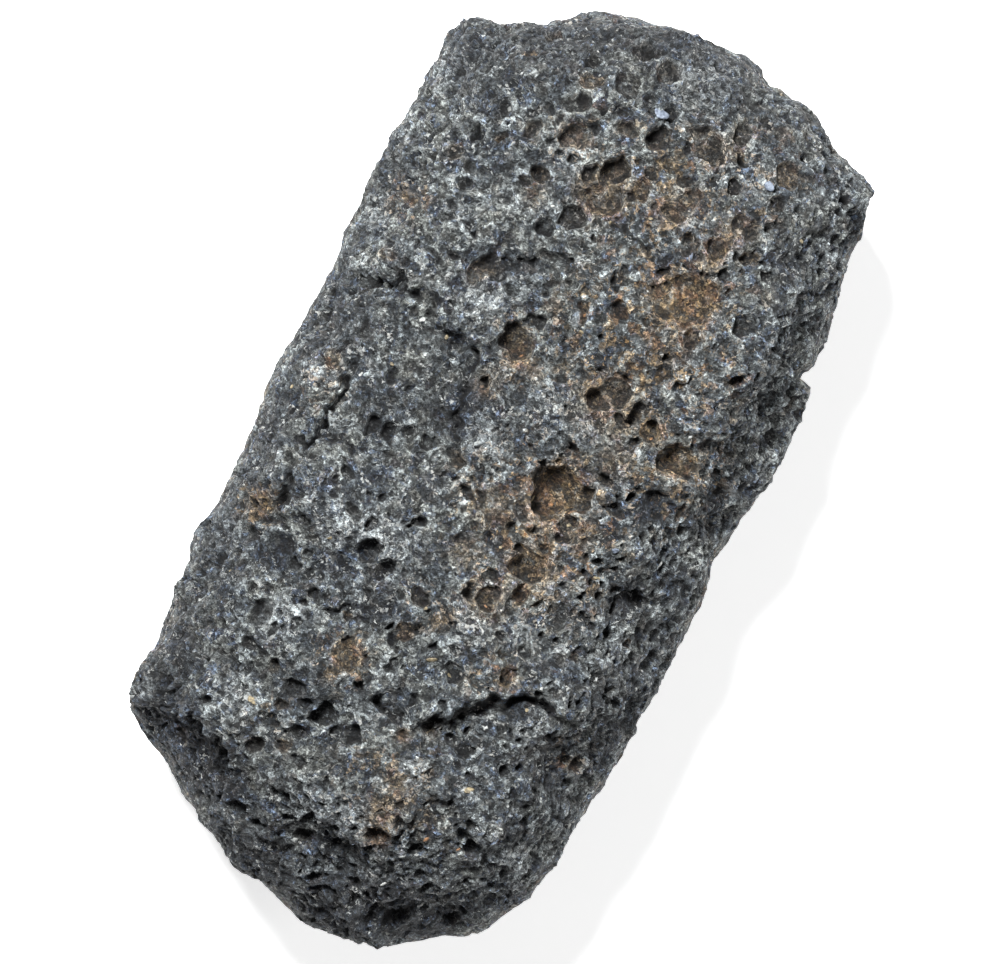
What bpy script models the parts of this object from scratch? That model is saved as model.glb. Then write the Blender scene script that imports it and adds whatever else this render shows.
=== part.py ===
"""Lava rock: one weathered block of vesicular basalt, modelled as a single closed body.

The rock lies on its broad back. +Z is up, +Y runs along its longest extent, and the origin is
the middle of its box in plan, at the height of the flat patch it rests on. The body starts as
a box-shaped grid of directions. Each direction is pushed out to a rounded many-sided block
whose plan follows OUTLINE, then the block is worn by lumps, broken steps, cracks, swells and
the round hollows that gas bubbles leave. A Decimate modifier spends the facets where the
surface bends.
"""

import bpy
import numpy as np

# ---------------------------------------------------------------- driving dimensions, metres
MM = 0.001
LENGTH = 0.1165
WIDTH = 0.0596
HEIGHT = 0.0430

GRID_STEP = 0.90 * MM  # side of one grid cell before the rock is worn
FACETS = 9600  # triangles kept by the Decimate modifier
UPPER_WORTH, LOWER_WORTH = 0.8, 0.5  # how far the Decimate modifier spares each part of the rock
UPPER_FROM = 0.65  # share of the height at which the upper part begins
REST_CUT = 2.3 * MM  # depth that the resting patch is cut into the underside
REST_PLAY = 0.05 * MM  # points this near the resting patch are set on it
EDGE_ROUNDNESS = 17.0  # a higher number gives sharper edges between the faces of the block

# ---------------------------------------------------------------- shape, millimetres in plan
# Corners of the rock's outline seen from above, clockwise from the upper left.
OUTLINE = (
    (-30.0, 46.1), (-28.8, 47.9), (-23.5, 48.9), (-18.5, 50.3), (-15.2, 53.2), (-11.0, 54.8),
    (-5.2, 56.6), (4.8, 57.2), (8.2, 55.5), (14.0, 54.8), (20.3, 51.8), (23.6, 51.3),
    (26.2, 50.4), (26.7, 43.8), (27.3, 34.7), (28.0, 28.0), (27.7, 25.7), (29.4, 25.1),
    (30.3, 20.1), (29.4, 10.5), (27.4, 1.3), (28.3, -9.5), (27.7, -19.5), (27.7, -24.5),
    (26.8, -36.2), (25.8, -44.9), (22.5, -49.7), (19.8, -53.0), (11.9, -58.1), (3.2, -59.2),
    (-4.3, -57.4), (-12.9, -54.0), (-20.9, -49.4), (-25.2, -47.6), (-28.3, -45.7),
    (-28.9, -42.0), (-27.9, -36.2), (-29.1, -27.8), (-29.9, -22.8), (-28.9, -11.2),
    (-29.6, 3.0), (-29.0, 15.5), (-29.8, 28.8), (-29.6, 38.8),
)

# The block's broken faces: the way each one looks, and its distance from the middle.
FACES = (
    ((0.03, 0.02, 1.00), 21.5),  # broad top
    ((0.00, 0.00, -1.00), 21.5),  # broad back
    ((-0.94, 0.02, 0.34), 30.0),  # long left side, upper part
    ((0.80, -0.02, 0.60), 28.2),  # long right side, upper part
    ((0.05, 0.87, 0.49), 56.0),  # far end, upper part
    ((-0.50, 0.62, 0.61), 48.8),  # far left corner
    ((0.52, 0.62, 0.59), 49.3),  # far right corner
    ((0.02, -0.74, 0.67), 47.8),  # near end, upper part
    ((-0.56, -0.70, 0.45), 50.0),  # near left corner
    ((0.62, -0.54, 0.57), 44.6),  # near right corner
    ((-0.78, 0.08, -0.62), 28.2),  # long left side, lower part
    ((0.72, 0.05, -0.69), 28.4),  # long right side, lower part
    ((-0.10, 0.80, -0.59), 54.0),  # far end, lower part
    ((0.45, 0.55, -0.70), 45.0),  # far right corner, lower part
    ((0.10, -0.83, -0.55), 54.0),  # near end, lower part
    ((-0.50, -0.60, -0.62), 46.0),  # near left corner, lower part
    ((0.58, -0.55, -0.60), 45.5),  # near right corner, lower part
)

# Lumps and hollows worn all over: wavelength, height on the top and back, height on the sides.
WEAR = ((34.0, 2.2, 0.3), (17.0, 1.7, 0.5), (9.0, 1.3, 0.7), (5.0, 0.85, 0.6))

# Broken steps on the top: points, then drop, reach on the high side, reach on the low side.
# The low side is on the right of the way the points run.
STEPS = (
    (
        ((-26.5, -39.5), (-23.5, -42), (-19.5, -43), (-14.8, -44.6), (-13.3, -48), (-12, -53)),
        4.4, 4, 9,
    ),
    (
        ((21, -23), (14.3, -22), (12.8, -23.8), (10.2, -24.5), (9.3, -26.7), (5.5, -30), (2, -33)),
        -3, 8, 5,
    ),
    (((-4.3, -4), (-4.9, 0.5), (-6.5, 2.6), (-6.3, 6), (-8, 8.5), (-8.5, 14)), -3, 8, 7),
    (((-29, 14), (-23, 15.7), (-20, 15.2), (-14.5, 15.5)), 2.2, 3, 4),
    (((-17, 12.3), (-12, 13), (-9.5, 12.1), (-7.3, 13.4), (-4, 14.6)), 1.9, 4, 4),
    (((-0.5, -16), (3, -18.8), (5.5, -19.8), (8.5, -21.4)), 1.5, 6, 4),
    (((-4.5, -45), (0, -46.5), (3, -46.9), (6.5, -46.2)), 2.4, 4, 4),
    (((6.2, -46), (7.3, -41.5), (9.5, -38.5), (13, -36)), 1.4, 4, 4),
    (((21.5, -24), (22.5, -20.7), (26, -18.6)), 1.7, 4, 4),
    (((-13.3, -16.8), (-10.5, -14.8), (-7.5, -15)), 0.9, 3, 3),
    (((2.5, 14.9), (6.5, 16.7), (11, 17)), 1.3, 4, 4),
    (((-11, 23.6), (-6, 25.2), (-2.5, 27)), 1.2, 4, 4),
    (((8, -54), (12.5, -50.7), (16, -50.2), (19, -49.9), (23.5, -50.4)), 2, 3, 6),
    (((-7, -55.8), (2, -56.6), (10, -55.6)), 1.3, 2, 3),
    (((24, 38), (22, 30), (23, 22), (25, 14)), -1.5, 5, 4),
    (((29, 25.5), (25, 25), (23, 23)), 1.6, 2, 3),
)

# Cracks and slots on the top: points, then depth and half width.
CRACKS = (
    (((-21.8, 5), (-22.4, -1), (-22.4, -9), (-22.2, -13.5), (-24.5, -17)), 3, 0.8),
    (((-26.5, -9.5), (-26, -13.5), (-27.5, -16)), 1.2, 0.8),
    (((-21, -16.2), (-24, -17), (-27, -17)), 1.6, 0.8),
    (((-26.3, 47), (-26, 34), (-26.5, 22), (-26, 8)), 1.2, 0.9),
    (((24, 47), (26, 43), (27.3, 39)), 1.9, 0.8),
    (((29.5, 8.2), (26.8, 5.2), (26.5, 3)), 1.9, 0.8),
    (((-26, -48), (-21.3, -44.8), (-19.5, -45)), 1.2, 0.8),
    (((-25.5, 25.7), (-23.5, 27.3), (-21.8, 28.5)), 1.5, 0.8),
    (((-23, 34), (-21, 35.3), (-19.5, 36.8)), 1.2, 0.8),
    (((8.6, 54.6), (10, 54.2), (11.8, 53)), 1.2, 0.8),
    (((-8, -11.2), (-6.9, -10.6), (-5.6, -9.9)), 1.3, 0.8),
    (((-2.2, -30.9), (0.6, -31.6), (2.4, -31.9)), 1.5, 0.8),
    (((2.3, -54.4), (3.5, -54.2), (4.8, -54.1)), 1.2, 0.8),
    (((26, 22.6), (27, 20.8), (28, 18.6)), 1.3, 0.8),
)

# Swells and dips of the top: place, radius and height.
SWELLS = (
    ((2.5, -41), 6, 1.9), ((-16, -12.5), 5.5, 1), ((-16, -26), 5, 0.9), ((-11, 17), 4.5, 1.1),
    ((16.5, 19.5), 5, 1), ((-25.5, 1.5), 3.5, 1), ((-27.2, -42), 2.2, 1.9),
    ((-24.5, -12), 2.6, 1.7), ((2, -25), 5, 0.8), ((21, -7.5), 4, -1.7), ((-9, 3), 4, -1),
    ((-18, -48), 6, -1.6), ((4, 30), 8, 0.7), ((9.5, -31.5), 4, -1.3), ((16, -52.5), 5, -0.9),
    ((9.8, -40), 2.5, -0.8), ((18.8, 4.2), 3, -1), ((-23.3, 13.4), 2.6, -1), ((-13, 21), 3, -0.9),
    ((8, 0.3), 4.5, -1.2), ((7.5, 13.5), 4.5, -0.9), ((-4, 36.5), 4.5, -0.9),
    ((10.5, 27.5), 4.5, -0.8), ((-4, -36.5), 4, -1), ((-26.8, 6), 2.2, -1.2),
    ((23.5, -25), 3.5, -0.8), ((14, 40), 4, 0.6), ((-6, 51.5), 3.5, -0.9),
)

# Larger gas hollows of the top: x, y, mouth radius and depth.
HOLLOWS = (
    (-7.0, 48.3, 1.5, 2.2), (-6.2, 52.9, 2.0, 1.6), (-2.8, 51.5, 1.6, 1.4),
    (-10.7, 46.8, 1.5, 0.9), (-10.9, 44.1, 1.2, 1.7), (-0.6, 43.9, 1.7, 1.6),
    (-19.2, 39.4, 1.1, 2.0), (-17.2, 49.4, 1.5, 1.3), (-9.3, 40.0, 1.9, 1.2),
    (-6.0, 36.9, 1.2, 2.9), (-3.2, 38.6, 2.0, 1.9), (-3.6, 33.9, 2.2, 1.2),
    (-11.4, 33.8, 1.4, 1.5), (-5.5, 31.4, 1.6, 2.0), (8.2, 48.3, 1.5, 1.0), (4.0, 46.8, 1.5, 1.4),
    (6.1, 45.3, 1.5, 1.5), (15.5, 46.6, 1.8, 1.1), (22.4, 48.0, 1.5, 1.8), (5.9, 38.6, 1.6, 1.2),
    (4.9, 36.7, 1.5, 1.1), (0.4, 37.4, 1.5, 1.2), (11.7, 34.8, 1.7, 1.3), (13.7, 32.7, 1.1, 2.0),
    (11.4, 28.6, 2.9, 1.9), (8.9, 26.7, 1.9, 1.0), (18.7, 28.3, 1.5, 1.3), (13.9, 24.0, 1.5, 1.3),
    (-12.3, 21.6, 1.6, 1.4), (-13.0, 20.0, 1.5, 0.7), (-5.4, 15.3, 2.1, 1.9),
    (-4.6, 13.9, 1.4, 1.1), (-24.3, 14.5, 1.5, 2.0), (-22.6, 14.9, 1.2, 1.8),
    (-27.1, 6.6, 1.5, 1.2), (-22.3, 8.0, 1.4, 0.9), (-10.0, -15.9, 1.7, 1.0),
    (-12.0, -17.9, 1.5, 0.8), (-20.3, -20.7, 2.2, 0.7), (-7.0, -27.8, 1.9, 1.0),
    (-18.8, -27.6, 1.6, 1.5), (4.5, 23.3, 1.5, 1.5), (28.3, 22.0, 1.5, 1.2), (9.3, 17.9, 1.4, 0.9),
    (12.3, 19.2, 1.4, 0.7), (5.4, 18.1, 1.5, 0.7), (14.3, 12.0, 1.4, 0.9), (6.5, 12.6, 1.7, 1.5),
    (8.6, 14.3, 2.0, 1.2), (18.6, 10.4, 2.4, 2.2), (7.6, 0.6, 3.1, 2.5), (5.0, 1.2, 1.6, 1.3),
    (10.2, 1.2, 1.8, 1.6), (8.3, -8.9, 2.3, 2.0), (14.0, -11.7, 1.5, 0.7), (3.3, -14.3, 1.5, 1.3),
    (5.3, -14.5, 1.4, 1.1), (21.2, -6.6, 1.5, 1.3), (-6.0, -35.5, 1.8, 1.6),
    (-2.3, -36.0, 1.5, 1.3), (-10.5, -49.6, 1.4, 0.8), (-14.0, -40.3, 1.4, 0.6),
    (19.2, -51.0, 1.4, 1.5),
)

# How much deeper the hollows are worn than they look, the deepest share of a mouth's radius
# that a hollow goes down, and the deepest cut.
DEEPER, DEEPEST_SHARE, DEEPEST = 1.3, 1.3, 3.4

# Gas hollows on the sides and the back: cell they are scattered by, smallest and largest radius.
SCATTER = (9.0, 1.5, 2.9)


def whole_number_hash(cell_x, cell_y, cell_z, salt):
    """Mix three cell numbers and a salt into one well scattered 32-bit number."""
    mixed = cell_x * 374761393 + cell_y * 668265263 + cell_z * 1442695041 + salt * 362437
    mixed = mixed & 0xFFFFFFFF
    for _ in range(2):
        mixed = ((mixed ^ (mixed >> 15)) * 1274126177) & 0xFFFFFFFF
    return mixed ^ (mixed >> 16)


def noise(points, wavelength, salt):
    """Smooth noise from about -1 to 1: random slopes at the corners of cubic cells, blended."""
    scaled = points / wavelength
    cell = np.floor(scaled).astype(np.int64)
    inside = scaled - cell
    blend = inside**3 * (inside * (inside * 6.0 - 15.0) + 10.0)
    total = np.zeros(len(points))
    for corner in np.ndindex(2, 2, 2):
        mixed = whole_number_hash(*(cell + corner).T, salt)
        slope = np.stack([(mixed >> shift) & 1023 for shift in (0, 10, 20)], axis=1) / 511.5 - 1.0
        weight = np.where(corner, blend, 1.0 - blend).prod(axis=1)
        total += weight * (slope * (inside - corner)).sum(axis=1)
    return total * 1.6


def smooth_step(value):
    """Ease from 0 to 1 as the value goes from 0 to 1."""
    held = np.clip(value, 0.0, 1.0)
    return held * held * (3.0 - 2.0 * held)


def box_grid(half, step):
    """Points and four-sided faces of a box-shaped grid, with the shared edges joined."""
    counts = [max(4, int(round(2.0 * side / step))) for side in half]
    points, faces = [], []
    start = 0
    for axis in range(3):
        across, along = (axis + 1) % 3, (axis + 2) % 3
        for sign in (-1.0, 1.0):
            u, v = np.meshgrid(
                np.linspace(-half[across], half[across], counts[across] + 1),
                np.linspace(-half[along], half[along], counts[along] + 1),
                indexing="ij",
            )
            sheet = np.zeros((u.size, 3))
            sheet[:, across] = u.ravel()
            sheet[:, along] = v.ravel()
            sheet[:, axis] = sign * half[axis]
            index = np.arange(u.size).reshape(u.shape) + start
            corners = [index[:-1, :-1], index[1:, :-1], index[1:, 1:], index[:-1, 1:]]
            if sign < 0.0:
                corners.reverse()
            faces.append(np.stack([c.ravel() for c in corners], axis=1))
            points.append(sheet)
            start += u.size
    points = np.concatenate(points)
    faces = np.concatenate(faces)
    keys = np.round(points / step * 64.0).astype(np.int64)
    _, first, joined = np.unique(keys, axis=0, return_index=True, return_inverse=True)
    return points[first], joined.reshape(-1)[faces]


def block_surface(points):
    """Push each direction out to the rounded block: the faces and the outline wall are joined
    by a power mean of how far each one has been reached, so their edges come out rounded."""
    way = points / np.linalg.norm(points, axis=1, keepdims=True)
    corners = np.array(OUTLINE)
    bearing = np.arctan2(corners[:, 1], corners[:, 0])
    order = np.argsort(bearing)
    nearness = 1.0 / np.hypot(corners[:, 0], corners[:, 1])
    wall = np.interp(
        np.arctan2(way[:, 1], way[:, 0]), bearing[order], nearness[order], period=2.0 * np.pi
    )
    reached = (np.hypot(way[:, 0], way[:, 1]) * wall) ** EDGE_ROUNDNESS
    for facing, distance in FACES:
        toward = way @ (np.array(facing) / np.linalg.norm(facing))
        reached += (np.maximum(toward, 0.0) / distance) ** EDGE_ROUNDNESS
    return way * (reached ** (-1.0 / EDGE_ROUNDNESS))[:, None]


def outward(points, faces):
    """Outward unit direction at each point, from the faces around it."""
    across = points[faces[:, 2]] - points[faces[:, 0]]
    along = points[faces[:, 3]] - points[faces[:, 1]]
    facing = np.cross(across, along)
    total = np.zeros_like(points)
    for corner in range(4):
        for axis in range(3):
            total[:, axis] += np.bincount(faces[:, corner], facing[:, axis], len(points))
    return total / np.linalg.norm(total, axis=1, keepdims=True)


def along_line(points, line):
    """Signed distance in plan to a line of points (positive on its left), and a weight that
    fades to nothing at the line's two ends."""
    line = np.array(line, dtype=float)
    pieces = np.diff(line, axis=0)
    lengths = np.hypot(pieces[:, 0], pieces[:, 1])
    done = np.concatenate([[0.0], np.cumsum(lengths)])
    nearest = np.full(len(points), np.inf)
    side = np.ones(len(points))
    part = np.zeros(len(points))
    for start, piece, length, before in zip(line[:-1], pieces, lengths, done):
        offset = points[:, :2] - start
        run = np.clip(offset @ piece / length**2, 0.0, 1.0)
        away = offset - run[:, None] * piece
        distance = np.hypot(away[:, 0], away[:, 1])
        closer = distance < nearest
        left = piece[0] * offset[:, 1] - piece[1] * offset[:, 0] > 0.0
        nearest = np.where(closer, distance, nearest)
        side = np.where(closer, np.where(left, 1.0, -1.0), side)
        part = np.where(closer, (before + run * length) / done[-1], part)
    return nearest * side, smooth_step(part / 0.18) * smooth_step((1.0 - part) / 0.18)


def relief(points, upward):
    """Height of the steps, cracks and swells that show on the upper side of the rock."""
    height = np.zeros(len(points))
    wander = 0.7 * np.stack([noise(points, 5.0, 61), noise(points, 5.0, 62)], axis=1)
    plan = points[:, :2] + wander
    for line, drop, high_reach, low_reach in STEPS:
        distance, weight = along_line(plan, line)
        distance = distance * np.sign(drop)
        reach = np.where(distance > 0.0, high_reach, low_reach)
        edge = np.tanh(distance / 0.8) * np.exp(-np.abs(distance) / reach)
        height += 0.5 * abs(drop) * weight * edge
    for line, depth, half_width in CRACKS:
        distance, weight = along_line(plan, line)
        height -= depth * weight * np.exp(-((distance / half_width) ** 2))
    for place, radius, rise in SWELLS:
        away = np.hypot(*(plan - place).T)
        height += rise * np.exp(-((away / radius) ** 2))
    return height * upward


def bowl(points, normals, centre, radius):
    """How far each point goes inwards to reach the far side of a ball-shaped hollow."""
    offset = points - centre
    depth = (offset * normals).sum(axis=1)
    room = depth**2 + radius**2 - (offset**2).sum(axis=1)
    inside = (offset**2).sum(axis=1) < radius**2
    return np.where(inside, depth + np.sqrt(np.maximum(room, 0.0)), 0.0)


def hollow_depths(points, normals):
    """Depth of the gas hollows: the chosen ones on the top, and scattered ones elsewhere."""
    depth = np.zeros(len(points))
    top = np.flatnonzero(normals[:, 2] > 0.1)
    for *place, mouth, deep in HOLLOWS:
        deep = min(deep * DEEPER, DEEPEST_SHARE * mouth)
        nearest = top[np.argmin(np.hypot(*(points[top, :2] - place).T))]
        radius = (mouth**2 + deep**2) / (2.0 * deep)
        centre = points[nearest] + normals[nearest] * (radius - deep)
        depth = np.maximum(depth, bowl(points, normals, centre, radius))
    cell_side, smallest, largest = SCATTER
    cells = np.floor(points / cell_side).astype(np.int64)
    unseen = smooth_step((0.35 - normals[:, 2]) / 0.3)
    for step in np.ndindex(3, 3, 3):
        cell = cells + np.array(step) - 1
        random = [whole_number_hash(*cell.T, 71 + k) / 2.0**32 for k in range(4)]
        centre = (cell + np.stack(random[:3], axis=1)) * cell_side
        radius = smallest + (largest - smallest) * random[3] ** 2
        depth = np.maximum(depth, bowl(points, normals, centre, radius) * unseen)
    return np.minimum(depth, DEEPEST)


def rock_points(points, faces):
    """The worn rock: block, then lumps, then steps and cracks, then gas hollows."""
    points = block_surface(points)
    normals = outward(points, faces)
    level = smooth_step(np.abs(normals[:, 2]) / 0.8)
    lumps = np.zeros(len(points))
    for index, (wave, level_height, side_height) in enumerate(WEAR):
        height = side_height + (level_height - side_height) * level
        lumps += height * noise(points, wave, 11 + index)
    upward = smooth_step((normals[:, 2] + 0.1) / 0.4)
    points = points + normals * (lumps + relief(points, upward))[:, None]
    normals = outward(points, faces)
    return points - normals * hollow_depths(points, normals)[:, None]


def cut_flat(points):
    """Cut the resting patch flat, by lifting what lies below it."""
    patch = np.percentile(points[:, 2], 0.5) + REST_CUT / MM
    cut = points.copy()
    cut[:, 2] = np.maximum(points[:, 2], patch) - patch
    return cut


def boxed(points):
    """Set the rock in its box: the resting patch at zero, the middle of the box over the origin."""
    set_down = points.copy()
    set_down[np.abs(points[:, 2]) < REST_PLAY / MM, 2] = 0.0
    set_down[:, 2] = np.maximum(set_down[:, 2], 0.0)
    low, high = set_down.min(axis=0), set_down.max(axis=0)
    middle = np.array([(low[0] + high[0]) / 2.0, (low[1] + high[1]) / 2.0, 0.0])
    return (set_down - middle) * np.array([WIDTH, LENGTH, HEIGHT]) / (high - low)


def basalt():
    """Dark blue-grey basalt."""
    material = bpy.data.materials.new("basalt")
    material.use_nodes = True
    shader = material.node_tree.nodes["Principled BSDF"]
    shader.inputs["Base Color"].default_value = (0.105, 0.110, 0.114, 1.0)
    shader.inputs["Roughness"].default_value = 0.88
    shader.inputs["Metallic"].default_value = 0.0
    return material


def body_of(name, points, faces):
    """A mesh object in the scene."""
    mesh = bpy.data.meshes.new(name)
    mesh.from_pydata(points.tolist(), [], faces.tolist())
    mesh.validate()
    body = bpy.data.objects.new(name, mesh)
    bpy.context.scene.collection.objects.link(body)
    return body


def thinned(points, faces):
    """The rock with its facets spent where it bends, and more of them on the upper side."""
    draft = body_of("draft", points, faces)
    worth = draft.vertex_groups.new(name="worth")
    is_upper = points[:, 2] > UPPER_FROM * HEIGHT / MM
    worth.add(np.flatnonzero(is_upper).tolist(), UPPER_WORTH, "REPLACE")
    worth.add(np.flatnonzero(~is_upper).tolist(), LOWER_WORTH, "REPLACE")
    thin = draft.modifiers.new("Decimate", "DECIMATE")
    thin.decimate_type = "COLLAPSE"
    thin.use_collapse_triangulate = True
    thin.ratio = FACETS / (2.0 * len(faces))
    thin.vertex_group = worth.name
    thin.invert_vertex_group = True
    settled = draft.evaluated_get(bpy.context.evaluated_depsgraph_get())
    finished = bpy.data.meshes.new_from_object(settled)
    bpy.data.objects.remove(draft, do_unlink=True)
    points = np.array([vertex.co for vertex in finished.vertices])
    faces = np.array([face.vertices for face in finished.polygons])
    bpy.data.meshes.remove(finished)
    return points, faces


def build():
    """Clear the scene and build the rock."""
    for item in list(bpy.context.scene.objects):
        bpy.data.objects.remove(item, do_unlink=True)
    half = np.array([WIDTH, LENGTH, HEIGHT]) / (2.0 * MM)
    points, faces = box_grid(half, GRID_STEP / MM)
    points, faces = thinned(cut_flat(rock_points(points, faces)), faces)
    rock = body_of("lava_rock", boxed(points), faces)
    rock.data.materials.append(basalt())


build()
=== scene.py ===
"""Lava rock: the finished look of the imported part, laid out as a Blender add-on.

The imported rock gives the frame: its box, its origin and its resting patch at zero height. This
script wears a finer copy of the same block, with the steps, cracks and gas hollows of the part
and the small relief that the part is too coarse to carry, and gives it a basalt material.

All lengths in the tables are millimetres in plan: x to the right and y towards the far end,
measured from the middle of the outline before the rock is set in its box.
"""

import bpy
import numpy as np
from mathutils import Matrix, Vector


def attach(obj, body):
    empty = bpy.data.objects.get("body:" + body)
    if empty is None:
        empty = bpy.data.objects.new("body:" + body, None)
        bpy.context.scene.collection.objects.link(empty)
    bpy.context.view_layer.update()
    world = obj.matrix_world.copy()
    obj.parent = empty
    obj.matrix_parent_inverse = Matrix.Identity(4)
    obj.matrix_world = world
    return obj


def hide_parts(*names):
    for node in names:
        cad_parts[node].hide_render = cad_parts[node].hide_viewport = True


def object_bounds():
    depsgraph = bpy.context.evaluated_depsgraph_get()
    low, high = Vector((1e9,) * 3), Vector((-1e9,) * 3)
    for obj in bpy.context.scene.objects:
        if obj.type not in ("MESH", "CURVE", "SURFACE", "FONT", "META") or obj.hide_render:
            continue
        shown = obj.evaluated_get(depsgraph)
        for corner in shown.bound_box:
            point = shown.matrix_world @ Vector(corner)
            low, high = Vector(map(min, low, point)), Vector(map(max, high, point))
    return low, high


bl_info = {
    "name": "Lava rock",
    "version": (1, 0, 0),
    "blender": (4, 5, 0),
    "location": "3D View > Sidebar > Lava rock",
    "description": "Builds a pitted basalt lava rock and the stage it lies on",
    "category": "Add Mesh",
}

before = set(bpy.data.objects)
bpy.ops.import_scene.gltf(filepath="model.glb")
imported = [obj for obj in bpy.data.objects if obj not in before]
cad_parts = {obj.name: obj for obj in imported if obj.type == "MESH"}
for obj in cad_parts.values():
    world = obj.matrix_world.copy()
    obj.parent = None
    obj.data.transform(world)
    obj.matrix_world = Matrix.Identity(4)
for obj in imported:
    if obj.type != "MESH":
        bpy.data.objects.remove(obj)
CAD_BOX = [list(map(float, corner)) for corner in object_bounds()]

MM = 0.001
BODY = "root"
NODE = "lava_rock"

# ------------------------------------------------------------------ shape shared with the part
# Corners of the rock's outline seen from above, clockwise from the upper left.
OUTLINE = (
    (-30, 46.1), (-28.8, 47.9), (-23.5, 48.9), (-18.5, 50.3), (-15.2, 53.2), (-11, 54.8),
    (-5.2, 56.6), (4.8, 57.2), (8.2, 55.5), (14, 54.8), (20.3, 51.8), (23.6, 51.3), (26.2, 50.4),
    (26.7, 43.8), (27.3, 34.7), (28, 28), (27.7, 25.7), (29.4, 25.1), (30.3, 20.1), (29.4, 10.5),
    (27.4, 1.3), (28.3, -9.5), (27.7, -19.5), (27.7, -24.5), (26.8, -36.2), (25.8, -44.9),
    (22.5, -49.7), (19.8, -53), (11.9, -58.1), (3.2, -59.2), (-4.3, -57.4), (-12.9, -54),
    (-20.9, -49.4), (-25.2, -47.6), (-28.3, -45.7), (-28.9, -42), (-27.9, -36.2), (-29.1, -27.8),
    (-29.9, -22.8), (-28.9, -11.2), (-29.6, 3), (-29, 15.5), (-29.8, 28.8), (-29.6, 38.8),
)

# The block's broken faces: the way each one looks, and its distance from the middle.
FACES = (
    ((0.03, 0.02, 1.00), 21.5),  # broad top
    ((0.00, 0.00, -1.00), 21.5),  # broad back
    ((-0.94, 0.02, 0.34), 30.0),  # long left side, upper part
    ((0.80, -0.02, 0.60), 28.2),  # long right side, upper part
    ((0.05, 0.87, 0.49), 56.0),  # far end, upper part
    ((-0.50, 0.62, 0.61), 48.8),  # far left corner
    ((0.52, 0.62, 0.59), 49.3),  # far right corner
    ((0.02, -0.74, 0.67), 47.8),  # near end, upper part
    ((-0.56, -0.70, 0.45), 50.0),  # near left corner
    ((0.62, -0.54, 0.57), 44.6),  # near right corner
    ((-0.78, 0.08, -0.62), 28.2),  # long left side, lower part
    ((0.72, 0.05, -0.69), 28.4),  # long right side, lower part
    ((-0.10, 0.80, -0.59), 54.0),  # far end, lower part
    ((0.45, 0.55, -0.70), 45.0),  # far right corner, lower part
    ((0.10, -0.83, -0.55), 54.0),  # near end, lower part
    ((-0.50, -0.60, -0.62), 46.0),  # near left corner, lower part
    ((0.58, -0.55, -0.60), 45.5),  # near right corner, lower part
)

# Lumps and hollows worn all over: wavelength, height on the top and back, height on the sides.
WEAR = ((34, 2.2, 0.3), (17, 1.7, 0.5), (9, 1.3, 0.7), (5, 0.85, 0.6))

# Broken steps on the top: points, then drop, reach on the high side, reach on the low side.
# The low side is on the right of the way the points run.
STEPS = (
    (((-26.5, -39.5), (-23.5, -42), (-19.5, -43), (-14.8, -44.6), (-13.3, -48), (-12, -53)),
     4.4, 4, 9),
    (((21, -23), (14.3, -22), (12.8, -23.8), (10.2, -24.5), (9.3, -26.7), (5.5, -30), (2, -33)),
     -3, 8, 5),
    (((-4.3, -4), (-4.9, 0.5), (-6.5, 2.6), (-6.3, 6), (-8, 8.5), (-8.5, 14)), -3, 8, 7),
    (((-29, 14), (-23, 15.7), (-20, 15.2), (-14.5, 15.5)), 2.2, 3, 4),
    (((-17, 12.3), (-12, 13), (-9.5, 12.1), (-7.3, 13.4), (-4, 14.6)), 1.2, 4, 4),
    (((-0.5, -16), (3, -18.8), (5.5, -19.8), (8.5, -21.4)), 1.5, 6, 4),
    (((-4.5, -45), (0, -46.5), (3, -46.9), (6.5, -46.2)), 2.4, 4, 4),
    (((6.2, -46), (7.3, -41.5), (9.5, -38.5), (13, -36)), 1.4, 4, 4),
    (((21.5, -24), (22.5, -20.7), (26, -18.6)), 1.1, 4, 4),
    (((-13.3, -16.8), (-10.5, -14.8), (-7.5, -15)), 0.9, 3, 3),
    (((2.5, 14.9), (6.5, 16.7), (11, 17)), 1.3, 4, 4),
    (((-11, 23.6), (-6, 25.2), (-2.5, 27)), 1.2, 4, 4),
    (((8, -54), (12.5, -50.7), (16, -50.2), (19, -49.9), (23.5, -50.4)), 2, 3, 6),
    (((-7, -55.8), (2, -56.6), (10, -55.6)), 1.3, 2, 3),
    (((24, 38), (22, 30), (23, 22), (25, 14)), -1.5, 5, 4),
    (((29, 25.5), (25, 25), (23, 23)), 1.6, 2, 3),
    (((-26.8, 44), (-26.4, 38), (-27.2, 33), (-26.6, 27), (-27.4, 20)), -1.1, 1.5, 2.5),
    (((-27.6, 12), (-28, 6), (-27.8, 0), (-28.6, -6), (-28.2, -12)), -1, 1.5, 2.5),
    (((-28.2, -20), (-28.6, -26), (-28, -32), (-27.4, -37)), -0.9, 1.5, 2.5),
)

# Half width of a step's rise, and the groove along its foot: distance from the rise, half width,
# and depth compared with the drop.
STEP_EDGE = 0.35
GROOVE_AT, GROOVE_HALF_WIDTH, GROOVE_DEPTH = 0.55, 0.5, 0.35

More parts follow.
